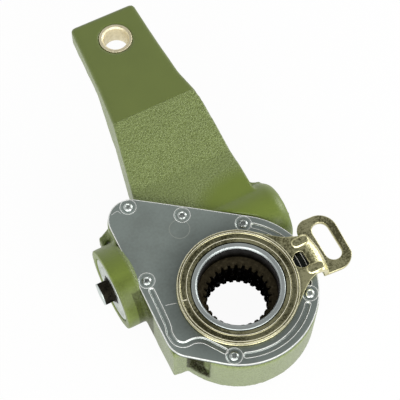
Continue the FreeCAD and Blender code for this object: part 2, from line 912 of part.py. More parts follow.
def make_worm():
    """Worm shaft with its thread, journals and adjusting hexagon."""
    body = new_body("worm_shaft", (0, worm_across, worm_height))
    hex_start = -boss_face - 0.4
    turned(body, [
        (hex_start, 0),
        (hex_start, journal_round),
        (-front_seat_at + 0.4, journal_round),
        (-front_seat_at + 1.6, worm_root),
        (rear_seat_at - 1.6, worm_root),
        (rear_seat_at - 0.4, journal_round + 1),
        (rear_seat_end - 0.4, journal_round + 1),
        (rear_seat_end - 0.4, 0),
    ], "X", "Shaft")
    half = float(thread_lead * worm_turns) / 2
    thread = new_sketch(body, "XY_Plane", "ThreadProfile")
    slope = math.tan(math.radians(20))
    half_at_pitch = float(thread_lead) / 4 - float(backlash) / 2
    base_half = half_at_pitch + float(gear_module) * 1.4 * slope
    tip_half = half_at_pitch - float(gear_module) * slope
    root = float(worm_root) - 0.3
    tip = float(worm_tip)
    corners = [
        (-half - base_half, root),
        (-half + base_half, root),
        (-half + tip_half, tip),
        (-half - tip_half, tip),
    ]
    thread.addGeometry([Part.LineSegment(Vector(*corners[i], 0), Vector(*corners[(i + 1) % 4], 0))
                        for i in range(4)], False)
    helix = body.newObject("PartDesign::AdditiveHelix", "Thread")
    helix.Profile = thread
    helix.ReferenceAxis = (thread, ["H_Axis"])
    helix.Mode = 0
    bind(helix, "Pitch", thread_lead)
    bind(helix, "Height", thread_lead * worm_turns)
    doc.recompute()
    hexagon = new_sketch(body, "YZ_Plane", "Hexagon", hex_start)
    corner = float(hex_across) / math.sqrt(3)
    points = [polar(corner, 60 * i + float(hex_turn)) for i in range(6)]
    hexagon.addGeometry([Part.LineSegment(Vector(*points[i], 0), Vector(*points[(i + 1) % 6], 0))
                         for i in range(6)], False)
    pad(body, hexagon, hex_stick_out, "HexagonPad", reverse=True)


def make_clutch_gear():
    """Toothed one-way clutch wheel that the rack turns."""
    body = new_body("clutch_gear", (-clutch_at, worm_across, worm_height))
    tip = clutch_pitch + clutch_module
    root = clutch_pitch - clutch_module * 1.25
    half = clutch_width / 2
    count = int(round(float(clutch_teeth)))
    pitch = 360 / float(clutch_teeth)
    section = new_sketch(body, "YZ_Plane", "GearSection", -half)
    points = []
    for i in range(count):
        turn = 90 + i * pitch
        points.append(polar(root, turn - 0.33 * pitch))
        points.append(polar(clutch_pitch, turn - 0.225 * pitch))
        points.append(polar(tip, turn - 0.1 * pitch))
        points.append(polar(tip, turn + 0.1 * pitch))
        points.append(polar(clutch_pitch, turn + 0.225 * pitch))
        points.append(polar(root, turn + 0.33 * pitch))
    section.addGeometry([Part.LineSegment(Vector(*points[i], 0), Vector(*points[(i + 1) % len(points)], 0))
                         for i in range(len(points))], False)
    circle(section, 0, 0, journal_round + shaft_gap)
    pad(body, section, clutch_width, "GearPad")


def make_rack():
    """Rack between the control disc's notch and the clutch gear."""
    body = new_body("rack")
    plan = new_sketch(body, "XY_Plane", "RackPlan", rack_pitch_height + clutch_module * 1.25)
    outline(plan, [
        (-rack_outside, -rack_low),
        (-rack_inside + nose_reach, -rack_low),
        (-rack_inside + nose_reach, -rack_low + rack_nose),
        (-rack_inside, -rack_low + rack_nose),
        (-rack_inside, rack_high),
        (-rack_outside, rack_high),
    ])
    pad(body, plan, rack_top - rack_pitch_height - clutch_module * 1.25, "RackPad")
    teeth = new_sketch(body, "YZ_Plane", "RackTeeth", -rack_outside)
    pitch = float(clutch_module) * math.pi
    base = float(rack_pitch_height) + float(clutch_module) * 1.25
    tip = float(rack_pitch_height) - float(clutch_module)
    slope = math.tan(math.radians(20))
    half_tip = pitch / 4 - 0.08 - float(clutch_module) * slope
    half_base = pitch / 4 - 0.08 + float(clutch_module) * 1.25 * slope
    first = float(worm_across) - pitch * 5.5
    points = [(first - pitch / 2, base + 1.0), (first - pitch / 2, base)]
    count = 9
    for i in range(count):
        middle = first + i * pitch
        points.append((middle - half_base, base))
        points.append((middle - half_tip, tip))
        points.append((middle + half_tip, tip))
        points.append((middle + half_base, base))
    points.append((first + (count - 0.5) * pitch, base))
    points.append((first + (count - 0.5) * pitch, base + 1.0))
    teeth.addGeometry([Part.LineSegment(Vector(*points[i], 0), Vector(*points[(i + 1) % len(points)], 0))
                       for i in range(len(points))], False)
    pad(body, teeth, rack_wide, "RackTeethPad")


def make_control_disc():
    """Control disc under the cover, with the collar that carries the control arm."""
    body = new_body("control_disc")
    turned(body, [
        (disc_low, collar_bore),
        (disc_low, disc_round),
        (disc_low + disc_thick, disc_round),
        (disc_low + disc_thick, collar_round),
        (ring_top - 0.5, collar_round),
        (ring_top - 0.5, collar_bore),
    ], "Z", "Disc")
    notch = new_sketch(body, "XY_Plane", "DiscNotch", disc_low)
    half = float(rack_nose) / 2 + float(nose_gap)
    middle_y = -float(rack_low) + float(rack_nose) / 2
    turn = math.asin(middle_y / (float(rack_inside) - float(nose_reach) / 2))
    inner = float(rack_inside) - float(nose_reach) - 0.8
    ux, uy = -math.cos(turn), math.sin(turn)
    corners = []
    for along, side in ((inner, -half), (40.0, -half), (40.0, half), (inner, half)):
        corners.append((along * ux - side * uy, along * uy + side * ux))
    outline(notch, corners)
    pocket(body, notch, disc_thick + 1, "NotchCut", reverse=True)


def make_control_arm():
    """Pressed control arm: beaded ring, cranked tab and slotted loop."""
    body = new_body("control_arm")
    low = cover_top + ring_lift
    inner = collar_round
    turned(body, [
        (low, inner),
        (low, ring_round - 0.5),
        (low + 0.6, ring_round),
        (ring_top - 1.0, ring_round),
        (ring_top, ring_round - 1.0),
        (ring_top, ring_round - 1.7),
        (ring_top - 1.3, ring_round - 2.9),
        (ring_top - 1.3, inner + 1.6),
        (ring_top, inner + 0.9),
        (ring_top, inner),
    ], "Z", "Ring")
    top = tab_middle + tab_half_wide
    bottom = tab_middle - tab_half_wide
    tab = new_sketch(body, "XY_Plane", "Tab", low)
    tab_root = ring_round - 2.0
    neck_end = float(tab_reach) - 7.8
    root_half = math.radians(46)
    outline(tab, [
        polar(tab_root, -46),
        polar(ring_round - 0.4, -41) + (-2.6,),
        (neck_end, float(bottom) - 0.2),
        (tab_reach - arm_sheet / 2, bottom),
        (tab_reach - arm_sheet / 2, top),
        (neck_end, float(top) + 0.2, -2.6),
        polar(ring_round - 0.4, 41),
        polar(tab_root, 46) + (-float(tab_root) * (1 - math.cos(root_half)),),
    ])
    pad(body, tab, arm_sheet, "TabPad")
    drop = new_sketch(body, "XZ_Plane", "Crank", -top - 0.2)
    loop_low = low - tab_drop
    outline(drop, [
        (tab_reach - arm_sheet, loop_low),
        (tab_reach + 3, loop_low),
        (tab_reach + 3, loop_low + arm_sheet),
        (tab_reach, loop_low + arm_sheet),
        (tab_reach, low + arm_sheet),
        (tab_reach - arm_sheet, low + arm_sheet),
    ])
    pad(body, drop, tab_half_wide * 2 + 0.4, "CrankPad")
    loop = new_sketch(body, "XY_Plane", "Loop", loop_low)
    outer_half = float(slot_wide) / 2 + float(loop_rim)
    loop_top = float(slot_middle) + float(slot_long) / 2 + float(loop_rim)
    loop_bottom = float(bottom)
    right = float(slot_at) + outer_half
    left = float(tab_reach) - float(arm_sheet)
    outline(loop, [
        (left, loop_bottom),
        (right - 9.0, loop_bottom, 9.0 * 0.4142 * 0.7071),
        (right, loop_bottom + 9.0),
        (right - 0.8, loop_top - 10.0, 2.9),
        (right - 10.8, loop_top),
        (left + 4.0, loop_top, 1.2),
        (left - 0.6, loop_top - 4.5),
    ])
    pad(body, loop, arm_sheet, "LoopPad")
    slot = new_sketch(body, "XY_Plane", "AnchorSlot", loop_low)
    obround(slot, slot_at, slot_middle, slot_long, slot_wide, 90)
    pocket(body, slot, arm_sheet * 2, "AnchorSlotCut", reverse=True)
    hole = new_sketch(body, "XY_Plane", "TabHole", low)
    circle(hole, tab_hole_at, tab_middle, tab_hole)
    pocket(body, hole, arm_sheet * 2, "TabHoleCut", reverse=True)
    ribs = new_sketch(body, "XY_Plane", "TabRibs", low + arm_sheet)
    for y in (tab_middle + 8.3, tab_middle - 8.3):
        obround(ribs, tab_reach - 8.0, y, 9.8, 4.4)
    pad(body, ribs, 0.8, "TabRibsPad")


def make_front_cover():
    """Round zinc cap that closes the worm bore around the hexagon."""
    body = new_body("front_cover", (-boss_face, worm_across, worm_height))
    turned(body, [
        (0.5, journal_round + 2.2),
        (0.5, 13.0),
        (1.1, 13.4),
        (1.1, 15.0),
        (0.5, 15.4),
        (0.5, cap_round - 0.6),
        (1.1, cap_round),
        (cap_thick, cap_round),
        (cap_thick, journal_round + 2.2),
    ], "X")


def make_rings():
    """Seals, bearings and caps, each a turned ring."""
    body = new_body("shaft_seal", (-boss_face, worm_across, worm_height))
    turned(body, [
        (0.7, journal_round + 0.1),
        (0.7, journal_round + 2.2),
        (cap_thick, journal_round + 2.2),
        (cap_thick, journal_round + 0.1),
    ], "X")
    body = new_body("front_bush", (-front_seat_at - front_seat_long, worm_across, worm_height))
    turned(body, [
        (0, journal_round + shaft_gap),
        (0, worm_room),
        (front_seat_long, worm_room),
        (front_seat_long, journal_round + shaft_gap),
    ], "X")
    body = new_body("clutch_ring", (-clutch_at, worm_across, worm_height))
    turned(body, [
        (-clutch_width / 2 - 4.9, journal_round + shaft_gap),
        (-clutch_width / 2 - 4.9, 12.6),
        (-clutch_width / 2 - 0.6, 11.4),
        (-clutch_width / 2 - 0.6, journal_round + shaft_gap),
    ], "X")
    body = new_body("rear_bearing", (rear_seat_at, worm_across, worm_height))
    turned(body, [
        (0, journal_round + 1 + shaft_gap),
        (0, rear_seat),
        (rear_seat_end - rear_seat_at, rear_seat),
        (rear_seat_end - rear_seat_at, journal_round + 1 + shaft_gap),
    ], "X")
    body = new_body("thrust_washer", (rear_seat_end, worm_across, worm_height))
    turned(body, [
        (0, journal_round + 2),
        (0, rear_bore - 0.3),
        (2, rear_bore - 0.3),
        (2, journal_round + 2),
    ], "X")
    body = new_body("rear_cap", (barrel_end, worm_across, worm_height))
    turned(body, [
        (-rear_cap_thick, 0),
        (-rear_cap_thick, rear_bore),
        (-0.8, rear_bore),
        (-0.8, 5.5),
        (-4.5, 5.5),
        (-4.5, 0),
    ], "X")
    body = new_body("wheel_seal")
    turned(body, [
        (3.2, wheel_hub_round + 0.1),
        (3.2, wheel_hub_round + 2.6),
        (5.2, wheel_hub_round + 2.6),
        (5.2, wheel_hub_round + 0.1),
    ], "Z")
    body = new_body("control_seal")
    inner = collar_round
    turned(body, [
        (body_top + 0.3, inner + shaft_gap),
        (body_top + 0.3, cover_hole),
        (cover_top - 0.2, cover_hole),
        (cover_top - 0.2, inner + shaft_gap),
    ], "Z")


def make_springs():
    """Coil springs: the clutch spring behind the worm and the return spring above the rack."""
    coil_round = rear_bore - 2.4
    start = rear_seat_end + 2.3
    room = barrel_end - rear_cap_thick - start - spring_wire * 2 - 0.6
    helix = doc.addObject("Part::Helix", "ClutchSpringPath")
    bind(helix, "Pitch", room / spring_turns)
    bind(helix, "Height", room)
    bind(helix, "Radius", coil_round)
    wire = doc.addObject("Part::Circle", "ClutchSpringWire")
    bind(wire, "Radius", spring_wire)
    wire.Placement = FreeCAD.Placement(
        Vector(float(coil_round), 0, 0), FreeCAD.Rotation(Vector(1, 0, 0), 90))
    sweep = doc.addObject("Part::Sweep", "clutch_spring")
    sweep.Sections = [wire]
    sweep.Spine = (helix, ["Edge1"])
    sweep.Solid = True
    sweep.Frenet = True
    sweep.Label = "clutch_spring"
    sweep.Placement = FreeCAD.Placement(
        Vector(float(start + spring_wire + 0.3), float(worm_across), float(worm_height)),
        FreeCAD.Rotation(Vector(0, 1, 0), 90))
    SUBPARTS.append(sweep)

    turn_round = Size(2.1, "2.1")
    rest = rack_high + 0.3
    room = channel_end - rest - 1.6
    helix = doc.addObject("Part::Helix", "RackSpringPath")
    bind(helix, "Pitch", room / 6)
    bind(helix, "Height", room)
    bind(helix, "Radius", turn_round)
    wire = doc.addObject("Part::Circle", "RackSpringWire")
    wire.Radius = 0.6
    wire.Placement = FreeCAD.Placement(
        Vector(float(turn_round), 0, 0), FreeCAD.Rotation(Vector(1, 0, 0), 90))
    sweep = doc.addObject("Part::Sweep", "rack_spring")
    sweep.Sections = [wire]
    sweep.Spine = (helix, ["Edge1"])
    sweep.Solid = True
    sweep.Frenet = True
    sweep.Label = "rack_spring"
    middle_height = (float(rack_pitch_height) + float(rack_top)) / 2 + 0.6
    sweep.Placement = FreeCAD.Placement(
        Vector(-float(clutch_at), float(rest) + 0.7, middle_height),
        FreeCAD.Rotation(Vector(1, 0, 0), -90))
    SUBPARTS.append(sweep)


def write_parts():
    """Check every object, then write each sub-part to its own file."""
    doc.recompute()
    for item in doc.Objects:
        if "Invalid" in item.State or "Error" in item.State:
            raise RuntimeError(f"{item.Label} did not build: {item.State}")
    for item in SUBPARTS:
        if item.Shape.isNull() or not item.Shape.isValid() or not item.Shape.Solids:
            raise RuntimeError(f"{item.Label} has no valid solid")
    for item in SUBPARTS:
        item.Shape.exportStep(f"parts/{item.Label}.step")
        box = item.Shape.BoundBox
        spans = [(box.XMin, box.XMax), (box.YMin, box.YMax), (box.ZMin, box.ZMax)]
        extent = ", ".join(f"{low:.1f} to {high:.1f}" for low, high in spans)
        print(f"{item.Label}: {len(item.Shape.Solids)} solid, {item.Shape.Volume:.0f} mm3, {extent}")


make_housing()
make_bush()
make_gasket()
make_cover()
make_screws()
make_wheel()
make_hub_ring()
make_worm()
make_clutch_gear()
make_rack()
make_control_disc()
make_control_arm()
make_front_cover()
make_rings()
make_springs()
write_parts()
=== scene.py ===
"""Looks of a brake slack adjuster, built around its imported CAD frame."""

import math
from types import SimpleNamespace

import bmesh
import bpy
from mathutils import Matrix, Vector


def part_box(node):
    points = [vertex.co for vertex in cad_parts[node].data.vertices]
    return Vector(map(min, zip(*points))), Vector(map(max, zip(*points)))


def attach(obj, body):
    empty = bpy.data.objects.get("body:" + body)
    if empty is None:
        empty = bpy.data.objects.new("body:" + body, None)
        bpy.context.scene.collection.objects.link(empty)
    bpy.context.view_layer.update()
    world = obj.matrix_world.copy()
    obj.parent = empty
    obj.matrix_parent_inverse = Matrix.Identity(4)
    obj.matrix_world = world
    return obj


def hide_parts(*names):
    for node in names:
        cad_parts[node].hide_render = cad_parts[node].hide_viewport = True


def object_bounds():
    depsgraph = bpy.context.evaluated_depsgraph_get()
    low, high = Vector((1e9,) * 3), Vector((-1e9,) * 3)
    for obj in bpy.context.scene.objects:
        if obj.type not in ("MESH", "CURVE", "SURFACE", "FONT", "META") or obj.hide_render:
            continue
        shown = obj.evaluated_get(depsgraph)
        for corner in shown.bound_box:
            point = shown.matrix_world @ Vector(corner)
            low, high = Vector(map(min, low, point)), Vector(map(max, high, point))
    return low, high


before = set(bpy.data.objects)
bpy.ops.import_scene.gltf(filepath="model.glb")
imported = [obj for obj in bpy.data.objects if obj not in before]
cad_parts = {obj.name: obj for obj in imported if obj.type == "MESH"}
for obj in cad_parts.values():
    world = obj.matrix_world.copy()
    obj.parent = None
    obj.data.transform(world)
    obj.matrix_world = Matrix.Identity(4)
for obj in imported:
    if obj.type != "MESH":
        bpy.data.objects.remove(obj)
CAD_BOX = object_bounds()

bl_info = {
    "name": "Slack Adjuster Dresser",
    "version": (1, 0, 0),
    "blender": (4, 5, 0),
    "location": "3D Viewport > Sidebar > Adjuster",
    "description": "Dresses a brake slack adjuster with cast, pressed and turned finishes",
    "category": "Object",
}

MM = 0.001

# Heights and radii that the frame gives, in millimetres
COVER_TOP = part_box("cover_plate")[1].z / MM
COVER_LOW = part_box("cover_plate")[0].z / MM
COVER_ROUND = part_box("cover_plate")[1].x / MM
HUB_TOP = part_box("hub_ring")[1].z / MM
HUB_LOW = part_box("hub_ring")[0].z / MM
HUB_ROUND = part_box("hub_ring")[1].x / MM
BUSH_LOW, BUSH_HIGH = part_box("arm_bush")
EYE = ((BUSH_LOW.x + BUSH_HIGH.x) / 2 / MM, (BUSH_LOW.y + BUSH_HIGH.y) / 2 / MM)
WORM_AXIS = (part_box("front_cover")[0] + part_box("front_cover")[1]) / 2 / MM
SHAFT_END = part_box("worm_shaft")[0].x / MM
BOSS_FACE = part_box("housing")[0].x / MM
BARREL_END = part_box("rear_cap")[1].x / MM + 0.8
FLOOR = CAD_BOX[0][2]

# Radii of the pin's bore in the eye and of the recess in the hub, in millimetres
PIN_ROUND = 7.0
HUB_BORE = 21.3
# Height of the control ring's crown
CROWN = HUB_TOP + 0.3
# A lathe profile's point that lies on the axis, where its ring closes to a pole
POLE = 0.0001
# Corners of a mesh that are nearer than this, in metres, are one
SAME_PLACE = 1e-6

# Screw places on the cover, in millimetres
SCREWS = ((-30.4, 68.5), (-6.8, 51.0), (-40.6, 25.6), (19.9, 31.6), (31.7, -19.6), (-19.5, -31.8))

# Where the camera stood, its axes and its focal length in pixels of a frame 400 wide
CAMERA_PLACE = (-141.45, -213.41, 646.34)
CAMERA_RIGHT = (0.88664, -0.46232, 0.01105)
CAMERA_DOWN = (-0.40929, -0.79562, -0.44661)
CAMERA_FOCAL = 1270.76
FRAME_WIDTH = 400
SENSOR = 36.0


def linear(hex_text):
    """Turn an sRGB hex colour into linear red, green, blue and alpha."""
    parts = [int(hex_text[i:i + 2], 16) / 255 for i in (1, 3, 5)]
    return [p / 12.92 if p <= 0.04045 else ((p + 0.055) / 1.055) ** 2.4 for p in parts] + [1.0]


def length(name, description, millimetres):
    """A property for a length, with its default in millimetres."""
    return bpy.props.FloatProperty(name=name, description=description, default=millimetres * MM, unit="LENGTH")


def colour(name, description, hex_text):
    """A property for a colour, with its default as an sRGB hex value."""
    return bpy.props.FloatVectorProperty(name=name, description=description, default=linear(hex_text),
                                         size=4, min=0.0, max=1.0, subtype="COLOR")


class CoverSizes(bpy.types.PropertyGroup):
    """Sizes of the pressed cover plate."""

    bead_half: length("Bead half width", "Half the width of a sunk bead", 1.6)
    bead_deep: length("Bead depth", "How deep the beads are sunk", 0.8)
    dimple_round: length("Dimple radius", "Radius of a screw dimple", 4.4)
    dimple_deep: length("Dimple depth", "Depth of a screw dimple", 0.4)
    rim: length("Rim rounding", "Rounding of the sheared rim", 0.6)
    head_round: length("Screw head radius", "Radius of a screw head", 2.6)


class ControlSizes(bpy.types.PropertyGroup):
    """Sizes of the pressed control arm."""

    grain: length("Mesh grain", "Voxel of the sheet's mesh", 0.32)
    channel: length("Channel depth", "Depth of the ring's channel", 1.3)


class CastingSizes(bpy.types.PropertyGroup):
    """Sizes of the casting's skin and of what sits in its worm boss."""

    grain: length("Mesh grain", "Voxel of the casting's mesh", 0.84)
    soften: bpy.props.IntProperty(name="Softening", description="Smoothing steps of its edges", default=5)
    tip_more: length("Tip", "How much further the arm's tip reaches", 1.2)
    lug_shift: length("Lug", "How far the lug moves towards the boss", 4.1)
    end_less: length("Barrel end", "How much shorter the barrel ends", 2.2)
    hexagon_turn: bpy.props.FloatProperty(name="Hexagon", description="Turn of the worm shaft's hexagon",
                                          default=math.radians(-18.0), subtype="ANGLE")


class Finishes(bpy.types.PropertyGroup):
    """Colours of the finishes."""

    paint: colour("Paint", "Green coat of the casting", "#657233")
    # Pale paint is a painted highlight on the tops of the casting's grain
    grain_highlight_paint: colour("Pale paint", "Worn tops of its grain", "#7C8A50")
    steel: colour("Cover steel", "Dull zinc of the cover", "#B2BEB8")
    gold: colour("Gold zinc", "Yellow passivated zinc", "#B4B18A")
    bright: colour("Bright steel", "Ground steel of washers and springs", "#CFD5D3")
    dark: colour("Dark steel", "Oiled hardened steel", "#1A1613")


def lengths(group):
    """The lengths of a property group by name, in millimetres."""
    return SimpleNamespace(**{key: getattr(group, key) / MM for key in type(group).__annotations__})


def connect(tree, node, inputs):
    """Set or link a node's inputs; a node that is given as a value stands for its first output."""
    for key, value in inputs.items():
        if isinstance(value, bpy.types.Node):
            value = next(socket for socket in value.outputs if socket.enabled)
        if isinstance(value, bpy.types.NodeSocket):
            tree.links.new(value, node.inputs[key])
        else:
            node.inputs[key].default_value = value


def add_node(tree, kind, inputs=None, **settings):
    """Add a node, set its properties, and set or link its inputs."""
    made = tree.nodes.new(kind)
    for key, value in settings.items():
        setattr(made, key, value)
    connect(tree, made, inputs or {})
    return made


def new_material(name, **fixed):
    """A material with a Principled shader; constants go on its own sockets."""
    material = bpy.data.materials.new(name)
    material.use_nodes = True
    tree = material.node_tree
    shader = tree.nodes["Principled BSDF"]
    for key, value in fixed.items():
        shader.inputs[key.replace("_", " ")].default_value = value
    coords = tree.nodes.new("ShaderNodeTexCoord").outputs["Object"]
    return material, tree, shader, coords


def per_mm(size):
    """Noise scale whose cells are about a size in millimetres across."""
    return 1.0 / (size * MM)


def band(tree, value, low, high):
    """Mask that is 1 where a value lies between two limits in millimetres, with soft ends."""
    middle, half = (low + high) / 2 * MM, (high - low) / 2 * MM
    away = add_node(tree, "ShaderNodeMath", {0: value, 1: middle}, operation="SUBTRACT")
    size = add_node(tree, "ShaderNodeMath", {0: away}, operation="ABSOLUTE")
    return add_node(tree, "ShaderNodeMapRange", {"Value": size, "From Min": half, "From Max": half * 0.8})


def overlap(tree, *masks):
    """Mask of what lies in every one of several masks."""
    result = masks[0]
    for mask in masks[1:]:
        result = add_node(tree, "ShaderNodeMath", {0: result, 1: mask}, operation="MULTIPLY")
    return result


def from_bore(tree, coords):
    """The place as seen along the bore, and its distance from the bore's axis."""
    level = add_node(tree, "ShaderNodeVectorMath", {0: coords, 1: (1.0, 1.0, 0.0)}, operation="MULTIPLY")
    return level, add_node(tree, "ShaderNodeVectorMath", {0: level}, operation="LENGTH")


def cast_paint():
    """Green two-pack paint on sand-cast iron: satin, with the sand's grain showing through."""
    tones = bpy.context.scene.adjuster_finishes
    material, tree, shader, coords = new_material("green_cast_paint", Coat_Roughness=0.3, Coat_IOR=1.5)
    place = add_node(tree, "ShaderNodeSeparateXYZ", {"Vector": coords})
    along_x, along_y, height = (place.outputs[axis] for axis in "XYZ")
    # The machined flat of the arm is smooth, and so are the renewed paint near the body and on the worm boss
    flat_start = add_node(tree, "ShaderNodeMath", {0: along_y, 1: 115.2 * MM}, operation="GREATER_THAN")
    flat_top = add_node(tree, "ShaderNodeMath", {0: height, 1: 39.2 * MM}, operation="GREATER_THAN")
    flat = overlap(tree, flat_start, flat_top)
    level, _ = from_bore(tree, coords)
    patch_and_highlight = add_node(tree, "ShaderNodeVectorMath", {0: level, 1: (28 * MM, 30 * MM, 0.0)}, operation="DISTANCE")
    patch = add_node(tree, "ShaderNodeMapRange",
                     {"Value": patch_and_highlight, "From Min": 37 * MM, "From Max": 27 * MM, "To Max": 0.9})
    boss = add_node(tree, "ShaderNodeMapRange",
                    {"Value": along_x, "From Min": -45.5 * MM, "From Max": -47.5 * MM, "To Max": 0.85})
    boss_top = overlap(tree, boss, band(tree, along_y, 4.0, 62.0))
    renewed = add_node(tree, "ShaderNodeMath", {0: patch, 1: boss_top}, operation="MAXIMUM")
    smooth_part = add_node(tree, "ShaderNodeMath", {0: flat, 1: renewed}, operation="MAXIMUM")
    rough_part = add_node(tree, "ShaderNodeMath", {0: 1.0, 1: smooth_part}, operation="SUBTRACT")
    # Sand grain of about 1 mm, drawn as coarse as it needs to show
    grain = add_node(tree, "ShaderNodeTexNoise", {"Vector": coords, "Scale": per_mm(1.0), "Detail": 2.0})
    clouds = add_node(tree, "ShaderNodeTexNoise", {"Vector": coords, "Scale": per_mm(16.0), "Detail": 2.0})
    # Pale paint on the tops of the grain, over the rough part, is a painted highlight that stands in for the
    # grain's relief catching the light
    tops = add_node(tree, "ShaderNodeMapRange", {"Value": grain, "From Min": 0.34, "From Max": 0.58})
    shown = overlap(tree, tops, rough_part)
    tint = add_node(tree, "ShaderNodeMix", {"Factor": shown, "A": tones.paint, "B": tones.grain_highlight_paint},
                    data_type="RGBA")
    fresh = add_node(tree, "ShaderNodeMix", {"Factor": renewed, "A": tint, "B": linear("#6A7A2C")},
                     data_type="RGBA")
    # Painted reflection of the bright surroundings greys and pales the walls of the body
    wall_reflection = overlap(tree, band(tree, height, -10.0, 30.0), band(tree, along_y, -60.0, 14.0), 0.3)
    lightened = add_node(tree, "ShaderNodeMix", {"Factor": wall_reflection, "A": fresh, "B": linear("#6F7468")},
                      data_type="RGBA")
    cloud = add_node(tree, "ShaderNodeMapRange", {"Value": clouds, "To Min": 0.92, "To Max": 1.08})
    shade = add_node(tree, "ShaderNodeVectorMath", {0: lightened, "Scale": cloud}, operation="SCALE")
    # Painted shade in the notch of the wall and along the root of the worm boss
    notch = overlap(tree, band(tree, along_x, -40.0, -30.8), band(tree, along_y, -30.0, -15.0),
                    band(tree, height, 6.0, 31.8))
    root = overlap(tree, band(tree, along_x, -51.5, -44.0), band(tree, along_y, 6.0, 24.0), 0.75)
    # Painted shade over the lower half of the boss, broken into brown patches of film
    blots = add_node(tree, "ShaderNodeMapRange",
                     {"Value": clouds, "From Min": 0.40, "From Max": 0.55, "To Min": 0.12, "To Max": 0.42})
    boss_film_shade = overlap(tree, boss, band(tree, along_y, -5.0, 33.0), blots)
    boss_shade = add_node(tree, "ShaderNodeMath", {0: boss_film_shade, 1: root}, operation="MAXIMUM")
    shade_and_film = add_node(tree, "ShaderNodeMath", {0: notch, 1: boss_shade}, operation="MAXIMUM")
    patchy = add_node(tree, "ShaderNodeMapRange",
                      {"Value": grain, "From Min": 0.3, "From Max": 0.7, "To Min": 1.0, "To Max": 0.72})
    spread = overlap(tree, shade_and_film, patchy)
    shaded_tint = add_node(tree, "ShaderNodeMix", {"Factor": spread, "A": shade, "B": linear("#1C170C")},
                      data_type="RGBA")
    relief = overlap(tree, grain, rough_part)
    bump = add_node(tree, "ShaderNodeBump", {"Height": relief, "Strength": 1.0, "Distance": 0.8 * MM})
    gloss = add_node(tree, "ShaderNodeMapRange", {"Value": rough_part, "To Min": 0.4, "To Max": 0.5})
    sheen = add_node(tree, "ShaderNodeMapRange", {"Value": spread, "To Min": 0.4, "To Max": 0.0})
    dull = add_node(tree, "ShaderNodeMapRange", {"Value": spread, "To Min": 0.5, "To Max": 0.05})
    matt = add_node(tree, "ShaderNodeMapRange", {"Value": renewed, "To Min": 1.0, "To Max": 0.2})
    connect(tree, shader, {"Base Color": shaded_tint, "Coat Weight": overlap(tree, sheen, matt),
                           "Specular IOR Level": dull, "Roughness": gloss, "Normal": bump})
    return material


def plated_steel(name, tone, dark, rough, spot=1.1, amount=0.5, relief=0.05, highlight_amount=0.0, highlight_tone="#FFFFFF",
                 range_low=0.85, range_high=1.25):
    """Plated or ground steel whose sheen is broken by darker specks; its slopes may carry a painted highlight.
    """
    material, tree, shader, coords = new_material(name, Metallic=1.0)
    specks = add_node(tree, "ShaderNodeTexNoise", {"Vector": coords, "Scale": per_mm(spot), "Detail": 4.0})
    clouds = add_node(tree, "ShaderNodeTexNoise", {"Vector": coords, "Scale": per_mm(14.0), "Detail": 2.0})
    both = add_node(tree, "ShaderNodeMath", {0: specks, 1: clouds}, operation="ADD")
    mask = add_node(tree, "ShaderNodeMapRange",
                    {"Value": both, "From Min": range_low, "From Max": range_high, "To Max": amount})
    tint = add_node(tree, "ShaderNodeMix", {"Factor": mask, "A": tone, "B": linear(dark)}, data_type="RGBA")
    gloss = add_node(tree, "ShaderNodeMapRange",
                     {"Value": specks, "To Min": rough - 0.07, "To Max": rough + 0.1})
    bump = add_node(tree, "ShaderNodeBump", {"Height": specks, "Strength": 0.3, "Distance": relief * MM})
    # Slopes, rims and beads carry a painted highlight, brighter than what lies flat
    facing = add_node(tree, "ShaderNodeSeparateXYZ",
                      {"Vector": add_node(tree, "ShaderNodeNewGeometry").outputs["Normal"]})
    upright = add_node(tree, "ShaderNodeMath", {0: facing.outputs["Z"]}, operation="ABSOLUTE")
    highlit = add_node(tree, "ShaderNodeMapRange",
                      {"Value": upright, "From Min": 0.97, "From Max": 0.75, "To Max": highlight_amount})
    patch_and_highlight = add_node(tree, "ShaderNodeMix", {"Factor": highlit, "A": tint, "B": linear(highlight_tone)},
                    data_type="RGBA")
    shine = add_node(tree, "ShaderNodeMix", {"Factor": highlit, "A": gloss, "B": 0.2}, data_type="FLOAT")
    connect(tree, shader, {"Base Color": patch_and_highlight, "Roughness": shine, "Normal": bump})
    return material, tree, shader, coords, patch_and_highlight


def cover_zinc():
    """Dull zinc plate of the cover, darker round the hub, with a scribed circle."""
    tones = bpy.context.scene.adjuster_finishes
    material, tree, shader, coords, tint = plated_steel(
        "dull_zinc_cover", tones.steel, "#A3ADA7", 0.36, 1.6, 0.9, 0.02, 0.45, "#E6EAE4")
    centre = add_node(tree, "ShaderNodeVectorMath",
                      {0: coords, 1: (-11.8 * MM, 44.2 * MM, COVER_TOP * MM)}, operation="DISTANCE")
    ring = add_node(tree, "ShaderNodeMath", {0: centre, 1: 5.5 * MM, 2: 0.16 * MM}, operation="COMPARE")
    level, reach = from_bore(tree, coords)
    near = add_node(tree, "ShaderNodeMapRange",
                    {"Value": reach, "From Min": 32 * MM, "From Max": 47 * MM, "To Min": 0.58, "To Max": 1.0})
    # Painted shadow on the cover under the tab's hole
    tab = add_node(tree, "ShaderNodeVectorMath", {0: level, 1: (37.2 * MM, -1.2 * MM, 0.0)},
                   operation="DISTANCE")
    tab_shadow = add_node(tree, "ShaderNodeMapRange",
                      {"Value": tab, "From Min": 6.2 * MM, "From Max": 8.5 * MM, "To Min": 0.08})
    shade = add_node(tree, "ShaderNodeVectorMath", {0: tint, "Scale": overlap(tree, near, tab_shadow)},
                     operation="SCALE")
    marked = add_node(tree, "ShaderNodeMix", {"Factor": ring, "A": shade, "B": linear("#C9CFC6")},
                      data_type="RGBA")
    # Painted shadow of the gap, with some dirt, in a line where the plate lies on its gasket
    place = add_node(tree, "ShaderNodeSeparateXYZ", {"Vector": coords})
    joint = band(tree, place.outputs["Z"], COVER_LOW - 1.0, COVER_LOW + 0.9)
    dark = add_node(tree, "ShaderNodeMix", {"Factor": joint, "A": marked, "B": linear("#15140F")},
                    data_type="RGBA")
    connect(tree, shader, {"Base Color": dark})
    return material


